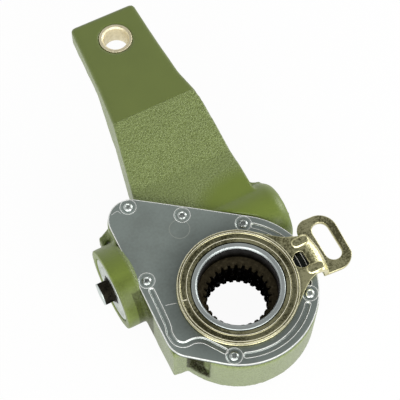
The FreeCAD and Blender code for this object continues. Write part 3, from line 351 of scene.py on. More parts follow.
def hub_steel():
    """Ground steel of the hub ring, bright on its end and near black inside its bore."""
    material, tree, shader, coords, tint = plated_steel(
        "ground_hub_steel", linear("#B9C0BE"), "#A4ABAA", 0.42, 2.0, 0.5, 0.02)
    _, reach = from_bore(tree, coords)
    bore = add_node(tree, "ShaderNodeMath", {0: reach, 1: (HUB_BORE + 0.15) * MM}, operation="LESS_THAN")
    toned = add_node(tree, "ShaderNodeMix", {"Factor": bore, "A": tint, "B": linear("#110F0B")},
                     data_type="RGBA")
    connect(tree, shader, {"Base Color": toned})
    return material


def gold_zinc():
    """Yellow passivated zinc of the control arm: speckled, with painted dark reflection in the ring's channel
    and on the loop.
    """
    tones = bpy.context.scene.adjuster_finishes
    material, tree, shader, coords, tint = plated_steel(
        "yellow_zinc", tones.gold, "#4A472A", 0.34, 1.1, 0.85, 0.03, 0.75, "#CFC9A2", 0.9, 1.16)
    _, reach = from_bore(tree, coords)
    # Painted dark reflection: the flat floor of the ring's channel and the face of the loop are darkened for
    # the dark overhead that they reflect
    channel = band(tree, reach, 27.1, 30.3)
    place = add_node(tree, "ShaderNodeSeparateXYZ", {"Vector": coords})
    loop = overlap(tree, band(tree, place.outputs["Z"], 23.0, 28.8), 0.3)
    dark_reflection = add_node(tree, "ShaderNodeMath", {0: channel, 1: loop}, operation="MAXIMUM")
    # The ring is darker than the tab
    tab_gain = add_node(tree, "ShaderNodeMapRange",
                     {"Value": reach, "From Min": 32.2 * MM, "From Max": 33.8 * MM,
                      "To Min": 0.84, "To Max": 1.2})
    keep = add_node(tree, "ShaderNodeMapRange", {"Value": dark_reflection, "To Min": tab_gain, "To Max": 0.62})
    toned = add_node(tree, "ShaderNodeVectorMath", {0: tint, "Scale": keep}, operation="SCALE")
    connect(tree, shader, {"Base Color": toned})
    return material


def greased_steel():
    """Steel of the worm wheel under a film of old grease: near black, with few glints."""
    material, tree, shader, coords = new_material("greased_steel", Metallic=0.0)
    lumps = add_node(tree, "ShaderNodeTexNoise", {"Vector": coords, "Scale": per_mm(1.6), "Detail": 3.0})
    ramp = add_node(tree, "ShaderNodeMapRange",
                    {"Value": lumps, "From Min": 0.35, "From Max": 0.7, "To Min": 0.35, "To Max": 0.8})
    tint = add_node(tree, "ShaderNodeMix", {"Factor": lumps, "A": linear("#0A0806"), "B": linear("#050403")},
                    data_type="RGBA")
    wet = add_node(tree, "ShaderNodeMapRange",
                   {"Value": lumps, "From Min": 0.62, "From Max": 0.72, "To Max": 0.25})
    # Dust sticks to the grease on the upper ends of the teeth
    place = add_node(tree, "ShaderNodeSeparateXYZ", {"Vector": coords})
    dusty = overlap(tree, band(tree, place.outputs["Z"], 21.5, 27.0), lumps)
    lightened = add_node(tree, "ShaderNodeMix", {"Factor": dusty, "A": tint, "B": linear("#4A4332")},
                      data_type="RGBA")
    bump = add_node(tree, "ShaderNodeBump", {"Height": lumps, "Strength": 0.6, "Distance": 0.2 * MM})
    connect(tree, shader, {"Base Color": lightened, "Specular IOR Level": wet, "Roughness": ramp, "Normal": bump})
    return material


def shaft_steel():
    """Blackened steel of the worm shaft, with the end of its hexagon ground bare."""
    material, tree, shader, coords, tint = plated_steel(
        "blackened_shaft", linear("#2A2820"), "#0C0B09", 0.5, 0.8, 0.9, 0.05, 0.0, "#FFFFFF", 0.9, 1.1)
    place = add_node(tree, "ShaderNodeSeparateXYZ", {"Vector": coords})
    bare = band(tree, place.outputs["X"], SHAFT_END - 1.0, SHAFT_END + 1.4)
    ends = add_node(tree, "ShaderNodeMix", {"Factor": bare, "A": tint, "B": linear("#C8D0CC")},
                    data_type="RGBA")
    connect(tree, shader, {"Base Color": ends})
    return material


def pale_marks_and_highlights(name, tone):
    """Pale matt finish of scribed marks and thin ridges; on the ridges it is a painted highlight that looks
    pale from every side.
    """
    material, tree, shader, coords = new_material(name, Metallic=0.2)
    noise = add_node(tree, "ShaderNodeTexNoise", {"Vector": coords, "Scale": per_mm(2.5)})
    ramp = add_node(tree, "ShaderNodeMapRange", {"Value": noise, "To Min": 0.3, "To Max": 0.5})
    shade = add_node(tree, "ShaderNodeMix", {"Factor": noise, "A": linear(tone), "B": linear("#C4C4BC")},
                     data_type="RGBA")
    connect(tree, shader, {"Base Color": shade, "Roughness": ramp})
    return material


def rubber_black():
    """Moulded nitrile rubber: matt black."""
    material, tree, shader, coords = new_material("nitrile_rubber", Metallic=0.0, Base_Color=linear("#17171A"))
    noise = add_node(tree, "ShaderNodeTexNoise", {"Vector": coords, "Scale": per_mm(2.0)})
    ramp = add_node(tree, "ShaderNodeMapRange", {"Value": noise, "To Min": 0.5, "To Max": 0.7})
    connect(tree, shader, {"Roughness": ramp})
    return material


def finish_set():
    """Every finish of the part, by a plain name."""
    tones = bpy.context.scene.adjuster_finishes
    return {
        "paint": cast_paint(),
        "cover": cover_zinc(),
        "gold": gold_zinc(),
        "grease": greased_steel(),
        "hub": hub_steel(),
        "bright": plated_steel("ground_steel", tones.bright, "#8D9292", 0.3, 1.6, 0.5)[0],
        "screw": plated_steel("zinc_screws", linear("#C3C9C5"), "#3C403C", 0.3, 0.9, 0.95)[0],
        "shaft": shaft_steel(),
        "edge": pale_marks_and_highlights("zinc_marks_and_highlights", "#FFFFFF"),
        "gold_edge": pale_marks_and_highlights("yellow_zinc_marks_and_highlights", "#F6EFC9"),
        "dark": plated_steel("oiled_steel", tones.dark, "#0E0B08", 0.5, 1.4, 0.8)[0],
        "bush": plated_steel("matt_zinc_bush", linear("#EFE6C8"), "#C9BF9C", 0.55, 2.0, 0.5)[0],
        "zinc": plated_steel("pale_zinc", linear("#CDD3CC"), "#9AA096", 0.45, 1.6, 0.5)[0],
        "bronze": plated_steel("bearing_bronze", linear("#B08A52"), "#6E5230", 0.4, 1.2, 0.5)[0],
        "rubber": rubber_black(),
    }


FINISH = {}


def mesh_object(name, mesh):
    """Link a new object for a mesh."""
    piece = bpy.data.objects.new(name, mesh)
    bpy.context.scene.collection.objects.link(piece)
    return piece


def finished(name, work):
    """Link a new object for a bmesh that is done."""
    mesh = bpy.data.meshes.new(name)
    work.to_mesh(mesh)
    work.free()
    return mesh_object(name, mesh)


def settle(piece, body, slot, finish, *nodes):
    """Give a finished piece its material and its body, and hide the nodes that it stands for; its slot is not
    used.
    """
    piece.data.materials.clear()
    piece.data.materials.append(FINISH[finish])
    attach(piece, body)
    if nodes:
        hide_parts(*nodes)


def baked(piece):
    """Apply a piece's modifiers by taking the evaluated mesh."""
    graph = bpy.context.evaluated_depsgraph_get()
    mesh = bpy.data.meshes.new_from_object(piece.evaluated_get(graph))
    piece.modifiers.clear()
    old = piece.data
    piece.data = mesh
    bpy.data.meshes.remove(old)


def smooth(piece, angle=40):
    """Shade a piece smooth, with edges sharper than an angle left sharp."""
    for face in piece.data.polygons:
        face.use_smooth = True
    piece.data.set_sharp_from_angle(angle=math.radians(angle))


def swept(name, rings, closed):
    """Skin over rings of points in millimetres: the last ring joins the first, or both ends are capped."""
    work = bmesh.new()
    rows = [[work.verts.new([c * MM for c in spot]) for spot in ring] for ring in rings]
    for here, after in zip(rows, rows[1:] + rows[:1] if closed else rows[1:]):
        for j, corner in enumerate(here):
            k = (j + 1) % len(here)
            work.faces.new((corner, here[k], after[k], after[j]))
    if not closed:
        work.faces.new(rows[0])
        work.faces.new(rows[-1])
    bmesh.ops.remove_doubles(work, verts=work.verts, dist=SAME_PLACE)
    bmesh.ops.recalc_face_normals(work, faces=work.faces)
    return finished(name, work)


def polar(radius, angle):
    """Point at a radius and an angle in degrees."""
    return (radius * math.cos(math.radians(angle)), radius * math.sin(math.radians(angle)))


def arc(centre, radius, start, end, steps=16):
    """Points along an arc between two angles in degrees."""
    points = []
    for i in range(steps + 1):
        x, y = polar(radius, start + (end - start) * i / steps)
        points.append((centre[0] + x, centre[1] + y))
    return points


def circle(centre, radius, steps):
    """Points round a full circle."""
    return arc(centre, radius, 0, 360, steps)[:-1]


def lathe(name, profile, centre=(0, 0, 0), along="Z", steps=128):
    """Closed ring turned from a closed profile of (radius, place along the axis), in millimetres."""
    rings = []
    for i in range(steps):
        turn = 2 * math.pi * i / steps
        ring = []
        for radius, place in profile:
            a, b = radius * math.cos(turn), radius * math.sin(turn)
            spot = (a, b, place) if along == "Z" else (place, a, b)
            ring.append([c + s for c, s in zip(centre, spot)])
        rings.append(ring)
    piece = swept(name, rings, True)
    smooth(piece)
    return piece


def rounded(profile, radius, steps=4):
    """Round the corners of a closed profile."""
    result = []
    count = len(profile)
    for i in range(count):
        here = Vector(profile[i])
        before = Vector(profile[i - 1]) - here
        after = Vector(profile[(i + 1) % count]) - here
        reach = min(radius, before.length * 0.45, after.length * 0.45)
        a = here + before.normalized() * reach
        b = here + after.normalized() * reach
        for k in range(steps + 1):
            t = k / steps
            result.append(tuple(a * (1 - t) ** 2 + here * 2 * t * (1 - t) + b * t ** 2))
    return result


def plate(name, outlines, low, high, edge=0.4):
    """Flat plate with rounded edges from closed outlines; inner ones are holes. Millimetres."""
    curve = bpy.data.curves.new(name, "CURVE")
    curve.dimensions = "2D"
    curve.fill_mode = "BOTH"
    for points in outlines:
        spline = curve.splines.new("POLY")
        spline.points.add(len(points) - 1)
        for target, point in zip(spline.points, points):
            target.co = (point[0] * MM, point[1] * MM, 0, 1)
        spline.use_cyclic_u = True
    curve.extrude = (high - low) / 2 * MM - edge * MM
    curve.bevel_depth = edge * MM
    curve.bevel_resolution = 2
    curve.offset = -edge * MM
    shape = bpy.data.objects.new(name + "_curve", curve)
    bpy.context.scene.collection.objects.link(shape)
    graph = bpy.context.evaluated_depsgraph_get()
    mesh = bpy.data.meshes.new_from_object(shape.evaluated_get(graph))
    bpy.data.objects.remove(shape)
    bpy.data.curves.remove(curve)
    mesh.transform(Matrix.Translation((0, 0, (low + high) / 2 * MM)))
    return mesh_object(name, mesh)


def joined(name, pieces):
    """Join meshes into one object."""
    work = bmesh.new()
    for piece in pieces:
        work.from_mesh(piece.data)
        bpy.data.objects.remove(piece)
    return finished(name, work)


def skinned(piece, voxel, soften):
    """Merge overlapping solids into one skin and soften its edges."""
    remesh = piece.modifiers.new("skin", "REMESH")
    remesh.mode = "VOXEL"
    remesh.voxel_size = voxel
    ease = piece.modifiers.new("soften", "SMOOTH")
    ease.factor = 0.5
    ease.iterations = soften
    baked(piece)
    smooth(piece, 60)


def cut(piece, cutter):
    """Take a closed solid away from a piece."""
    away = piece.modifiers.new("cut", "BOOLEAN")
    away.operation = "DIFFERENCE"
    away.solver = "EXACT"
    away.object = cutter
    baked(piece)
    bpy.data.objects.remove(cutter)


def cad_copy(node, name):
    """A merged copy of a CAD node's mesh, as the start of a dressed piece."""
    work = bmesh.new()
    work.from_mesh(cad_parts[node].data)
    bmesh.ops.remove_doubles(work, verts=work.verts, dist=SAME_PLACE)
    return finished(name, work)


def edge_cross(first, second):
    """Where two straight edges meet, each given by its normal's angle and its distance."""
    a, b = math.radians(first[0]), math.radians(second[0])
    det = math.sin(b - a)
    x = (first[1] * math.sin(b) - second[1] * math.sin(a)) / det
    y = (second[1] * math.cos(a) - first[1] * math.cos(b)) / det
    return x, y


# The cover's outline runs round three circles: one about the bore and two at its lobe's corners
LEFT_EDGE = (178.1, 46.5)
SHOULDER_ROUND = 12.0
HEEL_ROUND = 14.0
SHOULDER = edge_cross((53.8, COVER_ROUND - SHOULDER_ROUND), (LEFT_EDGE[0], LEFT_EDGE[1] - SHOULDER_ROUND))
HEEL = edge_cross((LEFT_EDGE[0], LEFT_EDGE[1] - HEEL_ROUND), (231.3, COVER_ROUND - HEEL_ROUND))
COVER_CIRCLES = ((0.0, 0.0, COVER_ROUND), SHOULDER + (SHOULDER_ROUND,), HEEL + (HEEL_ROUND,))


def cover_reach(turn, steps=720):
    """How far the cover's outline stands from the bore axis, at an angle in radians."""
    best = 1e9
    for i in range(steps):
        way = 2 * math.pi * i / steps
        lean = math.cos(way - turn)
        if lean > 0.05:
            support = max(x * math.cos(way) + y * math.sin(way) + r for x, y, r in COVER_CIRCLES)
            best = min(best, support / lean)
    return best


# Sunk beads of the cover: two arcs, as radius and angles, and one bent path round the index mark
BEAD_ARCS = ((37.0, -112.0, -41.5), (37.0, -23.5, 49.5))
BEAD_PATH = ((-40.8, 19.5), (-41.9, 0.0), (-43.2, -6.0), (-42.6, -11.5), (-39.2, -14.8),
             (-34.0, -15.2), (-29.6, -17.2), (-26.0, -22.0), (-22.4, -27.4))
# A scratch beside the first screw
SCRATCH = ((-40.4, 68.2), (-38.8, 68.6), (-36.4, 68.9), (-35.6, 66.8))
# Radius of each pale ridge round the control ring, which carries a painted highlight line, and how far it lies
# under the crown
RING_EDGES = ((31.95, 0.45), (30.75, 0.2), (27.15, 0.62))


def curve_points(points, steps=8):
    """Smooth line through points."""
    result = []
    count = len(points)
    for i in range(count - 1):
        p0 = Vector(points[max(i - 1, 0)])
        p1 = Vector(points[i])
        p2 = Vector(points[i + 1])
        p3 = Vector(points[min(i + 2, count - 1)])
        for k in range(steps):
            t = k / steps
            spot = 0.5 * (2 * p1 + (p2 - p0) * t + (2 * p0 - 5 * p1 + 4 * p2 - p3) * t ** 2
                          + (3 * p1 - p0 - 3 * p2 + p3) * t ** 3)
            result.append((spot.x, spot.y))
    result.append(points[-1])
    return result


def bead_lines():
    """Middle line of each sunk bead."""
    return [arc((0, 0), r, a, b, 40) for r, a, b in BEAD_ARCS] + [curve_points(BEAD_PATH)]


def line_distance(x, y, line):
    """Distance from a point to a line of short runs."""
    best = 1e9
    for (ax, ay), (bx, by) in zip(line, line[1:]):
        dx, dy = bx - ax, by - ay
        t = max(0.0, min(1.0, ((x - ax) * dx + (y - ay) * dy) / (dx * dx + dy * dy)))
        best = min(best, math.hypot(x - ax - t * dx, y - ay - t * dy))
    return best


def ease_step(low, high, value):
    """Smooth step from 0 to 1 between two values."""
    t = max(0.0, min(1.0, (value - low) / (high - low)))
    return t * t * (3 - 2 * t)


def cover_dip(x, y, sizes, lines):
    """How far the cover's top is pressed down at a point."""
    dip = 0.0
    for cx, cy in SCREWS:
        away = math.hypot(x - cx, y - cy)
        if away < sizes.dimple_round + 1:
            wall = ease_step(sizes.dimple_round - 1.0, sizes.dimple_round, away)
            dip = max(dip, sizes.dimple_deep * (1 - wall))
    for line in lines:
        away = line_distance(x, y, line)
        if away < sizes.bead_half + 0.3:
            dip = max(dip, sizes.bead_deep * (1 - ease_step(sizes.bead_half - 0.8, sizes.bead_half, away)))
    return dip


class ADJUSTER_OT_cover(bpy.types.Operator):
    """Build the pressed cover plate with its beads and dimples"""

    bl_idname = "adjuster.cover"
    bl_label = "Cover plate"

    def execute(self, context):
        sizes = lengths(context.scene.adjuster_cover)
        around, across, rim_steps = 720, 84, 4
        inner, low = 29.2, COVER_LOW + 0.05
        lines = bead_lines()
        rings = []
        for i in range(around):
            turn = 2 * math.pi * i / around
            reach = cover_reach(turn)
            ux, uy = math.cos(turn), math.sin(turn)
            row = [(inner, low)]
            for j in range(across + 1):
                radius = inner + (reach - sizes.rim - inner) * j / across
                row.append((radius, COVER_TOP - cover_dip(radius * ux, radius * uy, sizes, lines)))
            for k in range(1, rim_steps + 1):
                lean = math.pi / 2 * k / rim_steps
                row.append((reach - sizes.rim * (1 - math.sin(lean)),
                            COVER_TOP - sizes.rim * (1 - math.cos(lean))))
            row.append((reach, low))
            rings.append([(r * ux, r * uy, z) for r, z in row])
        piece = swept("cover_pressing", rings, True)
        smooth(piece, 50)
        settle(piece, "housing", "cover_steel", "cover", "cover_plate")
        return {"FINISHED"}


def strip(start, end, width, height):
    """Thin flat strip between two points at a height, in millimetres: a scribed mark."""
    a, b = Vector(start), Vector(end)
    side = Vector((a.y - b.y, b.x - a.x)).normalized() * width / 2
    corners = (a + side, a - side, b - side, b + side)
    return swept("strip", [[(c.x, c.y, z) for c in corners] for z in (height - 0.05, height + 0.02)], False)


def wire(points, radius, height):
    """Thin round ridge along a closed line of points at a height, in millimetres, to carry a painted highlight
    line.
    """
    rings = []
    for i, (x, y) in enumerate(points):
        before, after = points[i - 1], points[(i + 1) % len(points)]
        along = Vector((after[0] - before[0], after[1] - before[1])).normalized()
        rings.append([(x - along.y * dx, y + along.x * dx, z) for dx, z in circle((0, height), radius, 6)])
    return swept("wire", rings, True)


def bead_outline(line, half):
    """Outline round a bead's middle line, with round ends."""
    sides = []
    for i, (x, y) in enumerate(line):
        before = line[max(i - 1, 0)]
        after = line[min(i + 1, len(line) - 1)]
        along = Vector((after[0] - before[0], after[1] - before[1])).normalized()
        sides.append((Vector((x, y)), Vector((-along.y, along.x)) * half))
    left = [tuple(middle + side) for middle, side in sides]
    right = [tuple(middle - side) for middle, side in reversed(sides)]
    end, end_side = sides[-1]
    start, start_side = sides[0]
    end_turn = math.degrees(math.atan2(end_side.y, end_side.x))
    start_turn = math.degrees(math.atan2(-start_side.y, -start_side.x))
    return (left + arc(tuple(end), half, end_turn, end_turn - 180, 8)[1:-1]
            + right + arc(tuple(start), half, start_turn, start_turn - 180, 8)[1:-1])


class ADJUSTER_OT_marks(bpy.types.Operator):
    """Scribe the index mark across cover and ring, and lay thin pale ridges along their edges as painted
    highlight lines
    """

    bl_idname = "adjuster.marks"
    bl_label = "Marks and rubbed edges"

    def execute(self, context):
        sizes = lengths(context.scene.adjuster_cover)
        on_cover = [strip((-38.2, 8.7), (-32.6, 7.2), 0.25, COVER_TOP)]
        on_cover += [strip(a, b, 0.2, COVER_TOP) for a, b in zip(SCRATCH, SCRATCH[1:])]
        # Thin pale ridges round each bead and dimple and along the rim are painted highlight lines
        for line in bead_lines():
            on_cover.append(wire(bead_outline(line, sizes.bead_half), 0.18, COVER_TOP - 0.02))
        rim = [polar(cover_reach(math.radians(a)) - 0.45, a) for a in range(360)]
        on_cover.append(wire(rim, 0.28, COVER_TOP - 0.2))
        for screw in SCREWS:
            on_cover.append(wire(circle(screw, sizes.dimple_round, 48), 0.14, COVER_TOP - 0.02))
        settle(joined("cover_marks", on_cover), "housing", "cover_steel", "edge")
        channel = lengths(context.scene.adjuster_control).channel
        mark = strip((-29.9, 6.1), (-27.1, 5.5), 0.7, CROWN - channel + 0.3)
        edges = [wire(circle((0, 0), r, 180), 0.2, CROWN - under) for r, under in RING_EDGES]
        settle(joined("ring_marks", [mark] + edges), "control", "gold_zinc", "gold_edge")
        return {"FINISHED"}


class ADJUSTER_OT_screws(bpy.types.Operator):
    """Set a round-headed screw with a socket in each dimple, with Geometry Nodes"""

    bl_idname = "adjuster.screws"
    bl_label = "Cover screws"

    def execute(self, context):
        sizes = lengths(context.scene.adjuster_cover)
        seat = COVER_TOP - sizes.dimple_deep
        head = sizes.head_round
        socket = 1.2
        profile = [(POLE, -1.0), (head, -1.0), (head, 0.35), (head - 0.5, 0.95), (socket + 0.2, 1.25),
                   (socket, 1.1), (socket * 0.7, 0.3), (POLE, 0.3)]
        pattern = lathe("screw_pattern", profile, steps=36)
        points = bpy.data.meshes.new("cover_screw_heads")
        points.from_pydata([(x * MM, y * MM, seat * MM) for x, y in SCREWS], [], [])
        piece = mesh_object("cover_screw_heads", points)
        tree = bpy.data.node_groups.new("screw_field", "GeometryNodeTree")
        for name, kind in (("Geometry", "Geometry"), ("Screw", "Object"), ("Head scale", "Float"),
                           ("Finish", "Material")):
            tree.interface.new_socket(name, in_out="INPUT", socket_type="NodeSocket" + kind)
        tree.interface.new_socket("Geometry", in_out="OUTPUT", socket_type="NodeSocketGeometry")
        start = add_node(tree, "NodeGroupInput")
        shape = add_node(tree, "GeometryNodeObjectInfo", {"Object": start.outputs["Screw"]})
        spin = add_node(tree, "FunctionNodeRandomValue",
                        {"Seed": 4, "Min": (0, 0, 0), "Max": (0, 0, 6.28)}, data_type="FLOAT_VECTOR")
        field = add_node(tree, "GeometryNodeInstanceOnPoints",
                         {"Points": start.outputs["Geometry"], "Instance": shape.outputs["Geometry"],
                          "Rotation": spin.outputs["Value"], "Scale": start.outputs["Head scale"]})
        real = add_node(tree, "GeometryNodeRealizeInstances", {"Geometry": field})
        dressed = add_node(tree, "GeometryNodeSetMaterial",
                           {"Geometry": real, "Material": start.outputs["Finish"]})
        add_node(tree, "NodeGroupOutput", {"Geometry": dressed})
        nodes = piece.modifiers.new("screws", "NODES")
        nodes.node_group = tree
        values = {"Screw": pattern, "Head scale": 1.0, "Finish": FINISH["screw"]}
        for item in tree.interface.items_tree:
            if item.in_out == "INPUT" and item.name in values:
                nodes[item.identifier] = values[item.name]
        baked(piece)
        bpy.data.objects.remove(pattern)
        smooth(piece, 35)
        settle(piece, "housing", "cover_steel", "screw", "cover_screws")
        return {"FINISHED"}


class ADJUSTER_OT_casting(bpy.types.Operator):
    """Skin the housing as a sand casting with softened edges"""

    bl_idname = "adjuster.casting"
    bl_label = "Casting"

    def execute(self, context):
        sizes = context.scene.adjuster_casting
        piece = cad_copy("housing", "housing_casting")
        # The tip of the arm reaches a little further, and the lug stands nearer the boss
        tip_corner, tip_face, beside_eye = 172, 175, EYE[0] - 8
        lug_side, lug_low, lug_high = -47.2, 63, 71.5
        for vertex in piece.data.vertices:
            x, y = vertex.co.x / MM, vertex.co.y / MM
            if y > tip_corner and x < beside_eye:
                vertex.co.x -= sizes.tip_more
            if y > tip_face:
                vertex.co.y += sizes.tip_more
            if x < lug_side and lug_low < y < lug_high:
                vertex.co.y -= sizes.lug_shift
        # The barrel's end is well rounded
        axis = (0, WORM_AXIS.y, WORM_AXIS.z)
        end, round_off, barrel, past = BARREL_END - sizes.end_less / MM, 9.0, 19.0, BARREL_END + 2
        away = arc((barrel - round_off, end - round_off), round_off, 0, 90, 15)
        away += [(3.0, end), (3.0, past), (barrel + 0.5, past), (barrel + 0.5, end - round_off)]
        cut(piece, lathe("end_cutter", away, axis, "X", 96))
        # The boss reaches the wall of the body, and a web fills the corner at the arm's foot
        root = lathe("boss_root", [(18.0, BOSS_FACE + 5), (23.0, BOSS_FACE + 5), (23.0, -45.4), (18.0, -43.0)],
                     axis, "X", 96)
        foot = [(34.2, 62.9), (34.2, 49.9), (43.2, 49.9), (43.2, 54.6)] + arc((43.4, 62.2), 7.4, 265, 185, 8)
        web = plate("corner_web", [foot], WORM_AXIS.z - 8.5, WORM_AXIS.z + 8.5, 0.5)
        piece = joined("housing_casting", [piece, root, web])
        skinned(piece, sizes.grain, sizes.soften)
        settle(piece, "housing", "green_casting", "paint", "housing")
        return {"FINISHED"}


class ADJUSTER_OT_eye(bpy.types.Operator):
    """Turn the bush in the eye of the arm"""

    bl_idname = "adjuster.eye"
    bl_label = "Eye bush"

    def execute(self, context):
        low, high = BUSH_LOW.z / MM, BUSH_HIGH.z / MM
        outer = (BUSH_HIGH.x - BUSH_LOW.x) / 2 / MM
        profile = [(PIN_ROUND, low), (outer, low), (outer, high - 0.1), (outer - 0.3, high + 0.05),
                   (PIN_ROUND + 0.9, high + 0.05), (PIN_ROUND, high - 1.0)]
        piece = lathe("eye_bush", rounded(profile, 0.2), (EYE[0], EYE[1], 0), steps=96)
        settle(piece, "housing", "bright_steel", "bush", "arm_bush")
        return {"FINISHED"}


class ADJUSTER_OT_hub(bpy.types.Operator):
    """Turn the bright hub ring of the worm wheel"""

    bl_idname = "adjuster.hub"
    bl_label = "Hub ring"

    def execute(self, context):
        profile = [(HUB_BORE, HUB_LOW), (HUB_ROUND, HUB_LOW), (HUB_ROUND, HUB_TOP - 0.4),
                   (HUB_ROUND - 0.4, HUB_TOP), (HUB_BORE + 1.1, HUB_TOP), (HUB_BORE + 0.5, HUB_TOP - 0.5),
                   (HUB_BORE, HUB_TOP - 1.4)]
        piece = lathe("hub_sleeve", rounded(profile, 0.18), steps=192)
        settle(piece, "wheel", "bright_steel", "hub", "hub_ring")
        return {"FINISHED"}


# The control arm's tab and loop, in millimetres
TAB_LOW = COVER_TOP + 0.5
SHEET = 2.5
TAB_END = 48.8
BEND_ROUND = 7.6
BEND_START = TAB_END - BEND_ROUND
LOOP_LOW = TAB_LOW - 8.5


def obround(x, y, length, width, steps=10):
    """Slot outline with round ends along Y."""
    half = (length - width) / 2
    return arc((x, y + half), width / 2, 0, 180, steps) + arc((x, y - half), width / 2, 180, 360, steps)


def turned_obround(x, y, length, width):
    """Slot outline with round ends along X."""
    return [(x - (q - y), y + (p - x)) for p, q in obround(x, y, length, width)]


def bent_strip(name, low, top):
    """The bowed bend from the tab down to the loop, as a strip across the tab."""
    middle = (BEND_START, top - BEND_ROUND)
    section = [(BEND_START - 1, low), (BEND_START - 1, top)]
    section += arc(middle, BEND_ROUND, 90, 0, 10)
    section += [(TAB_END, LOOP_LOW + 0.3), (TAB_END - SHEET, LOOP_LOW + 0.3)]
    section += arc(middle, BEND_ROUND - SHEET, 0, 90, 8)
    rings = []
    for i in range(17):
        across = -1 + i / 8
        bow = 1.7 * (1 - across * across)
        y = -0.65 + 11.65 * across
        rings.append([(x - 1.0 + bow * ease_step(BEND_START, TAB_END - 1, x), y, z) for x, z in section])
    return swept(name, rings, False)


class ADJUSTER_OT_control(bpy.types.Operator):
    """Press the control arm: beaded ring, cranked tab with ribs, and slotted loop"""

    bl_idname = "adjuster.control"
    bl_label = "Control arm"

    def execute(self, context):
        sizes = context.scene.adjuster_control
        low, top = TAB_LOW, TAB_LOW + SHEET
        base = CROWN - sizes.channel / MM
        ring = lathe("control_ring", rounded([
            (26.8, low), (32.4, low), (32.6, low + 0.9), (31.9, low + 1.2), (31.9, CROWN - 0.3), (31.3, CROWN),
            (30.8, CROWN - 0.1), (30.3, base), (27.5, base), (27.2, CROWN - 0.5), (26.8, CROWN - 0.5)], 0.25),
            steps=192)
        neck_left = [(22.6, 23.3), (26.6, 19.8), (30.2, 16.8), (34.2, 13.8), (37.5, 12.4), (39.8, 11.5)]
        neck_right = [(37.5, -13.2), (34.9, -14.3), (30.8, -17.0), (26.8, -20.2), (22.6, -23.6)]
        outline = ([(BEND_START, -12.3), (39.6, -12.5)] + neck_right + arc((0, 0), 30.4, -44, 44, 24)
                   + neck_left + [(BEND_START, 11.0)])
        tab = plate("control_tab", [outline, circle((36.6, -1.9), 4.6, 32)], low, top, 0.35)
        ribs = [plate("control_rib", [turned_obround(40.8, y, 9.6, 4.6)], top - 0.5, top + 0.85, 0.55)
                for y in (7.3, -9.3)]
        bend = bent_strip("control_crank", low, top)
        outer = (arc((51.4, 14.0), 6.9, 95, 175, 8) + [(44.9, 12.6), (45.6, -12.6)]
                 + arc((56.0, -3.6), 9.8, 268, 340, 10) + arc((55.8, 10.6), 10.0, 2, 82, 10))
        loop = plate("control_loop", [outer, obround(56.4, 4.3, 23.2, 9.3)], LOOP_LOW, LOOP_LOW + SHEET, 0.4)
        piece = joined("control_pressing", [ring, tab, bend, loop] + ribs)
        skinned(piece, sizes.grain, 3)
        settle(piece, "control", "gold_zinc", "gold", "control_arm")
        return {"FINISHED"}


class ADJUSTER_OT_front(bpy.types.Operator):
    """Turn the front cover of the worm boss"""

    bl_idname = "adjuster.front"
    bl_label = "Front cover"

    def execute(self, context):
        near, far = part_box("front_cover")
        low, high = near.x / MM, far.x / MM
        outer = (far.y - near.y) / 2 / MM
        profile = [(7.9, high), (7.9, low + 0.4), (8.6, low), (12.8, low), (13.4, low + 0.8), (15.0, low + 0.8),
                   (15.6, low), (outer - 0.8, low), (outer, low + 0.9), (outer, high)]
        piece = lathe("front_cap", rounded(profile, 0.3), (0, WORM_AXIS.y, WORM_AXIS.z), "X")
        settle(piece, "housing", "zinc_steel", "zinc", "front_cover")
        return {"FINISHED"}


class ADJUSTER_OT_wheel(bpy.types.Operator):
    """Chamfer the lower end of the splined bore"""

    bl_idname = "adjuster.wheel"
    bl_label = "Splined wheel"

    def execute(self, context):
        piece = cad_copy("worm_wheel", "splined_wheel")
        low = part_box("worm_wheel")[0].z / MM
        cone = [(POLE, low - 1), (19.4, low - 1), (16.2, low + 2.8), (POLE, low + 2.8)]
        cut(piece, lathe("chamfer_cutter", cone, steps=112))
        smooth(piece, 30)
        settle(piece, "wheel", "dark_steel", "grease", "worm_wheel")
        return {"FINISHED"}


class ADJUSTER_OT_shaft(bpy.types.Operator):
    """Turn and face the worm shaft's hexagon, and seat the rear cap in the barrel's end"""

    bl_idname = "adjuster.shaft"
    bl_label = "Worm shaft and rear cap"

    def execute(self, context):
        sizes = context.scene.adjuster_casting
        piece = cad_copy("worm_shaft", "hexagon_shaft")
        axis_y, axis_z = WORM_AXIS.y * MM, WORM_AXIS.z * MM
        cos, sin = math.cos(sizes.hexagon_turn), math.sin(sizes.hexagon_turn)
        hexagon_long, face_deep, set_back = 9, 2, 1.1
        for vertex in piece.data.vertices:
            from_end = vertex.co.x / MM - SHAFT_END
            if from_end < hexagon_long:
                y, z = vertex.co.y - axis_y, vertex.co.z - axis_z
                vertex.co.y = axis_y + y * cos - z * sin
                vertex.co.z = axis_z + y * sin + z * cos
            if from_end < face_deep:
                vertex.co.x += set_back * MM
        smooth(piece, 30)
        settle(piece, "worm", "dark_steel", "shaft", "worm_shaft")
        plug = cad_copy("rear_cap", "rear_plug")
        for vertex in plug.data.vertices:
            vertex.co.x -= sizes.end_less + 1.0 * MM
        smooth(plug, 30)
        settle(plug, "housing", "zinc_steel", "zinc", "rear_cap")
        return {"FINISHED"}


# Finish of each CAD node that stays as it is
CARRIED = {
    "cover_gasket": "rubber", "clutch_gear": "dark", "rack": "dark", "control_disc": "gold",
    "shaft_seal": "rubber", "front_bush": "bronze", "clutch_ring": "dark", "rear_bearing": "bright",
    "thrust_washer": "bright", "wheel_seal": "rubber", "control_seal": "rubber", "clutch_spring": "bright",
    "rack_spring": "bright",
}


class ADJUSTER_OT_carried(bpy.types.Operator):
    """Give the CAD nodes that stay their finishes"""

    bl_idname = "adjuster.carried"
    bl_label = "Carried nodes"

    def execute(self, context):
        for node, finish in CARRIED.items():
            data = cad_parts[node].data
            data.materials.clear()
            data.materials.append(FINISH[finish])
        return {"FINISHED"}


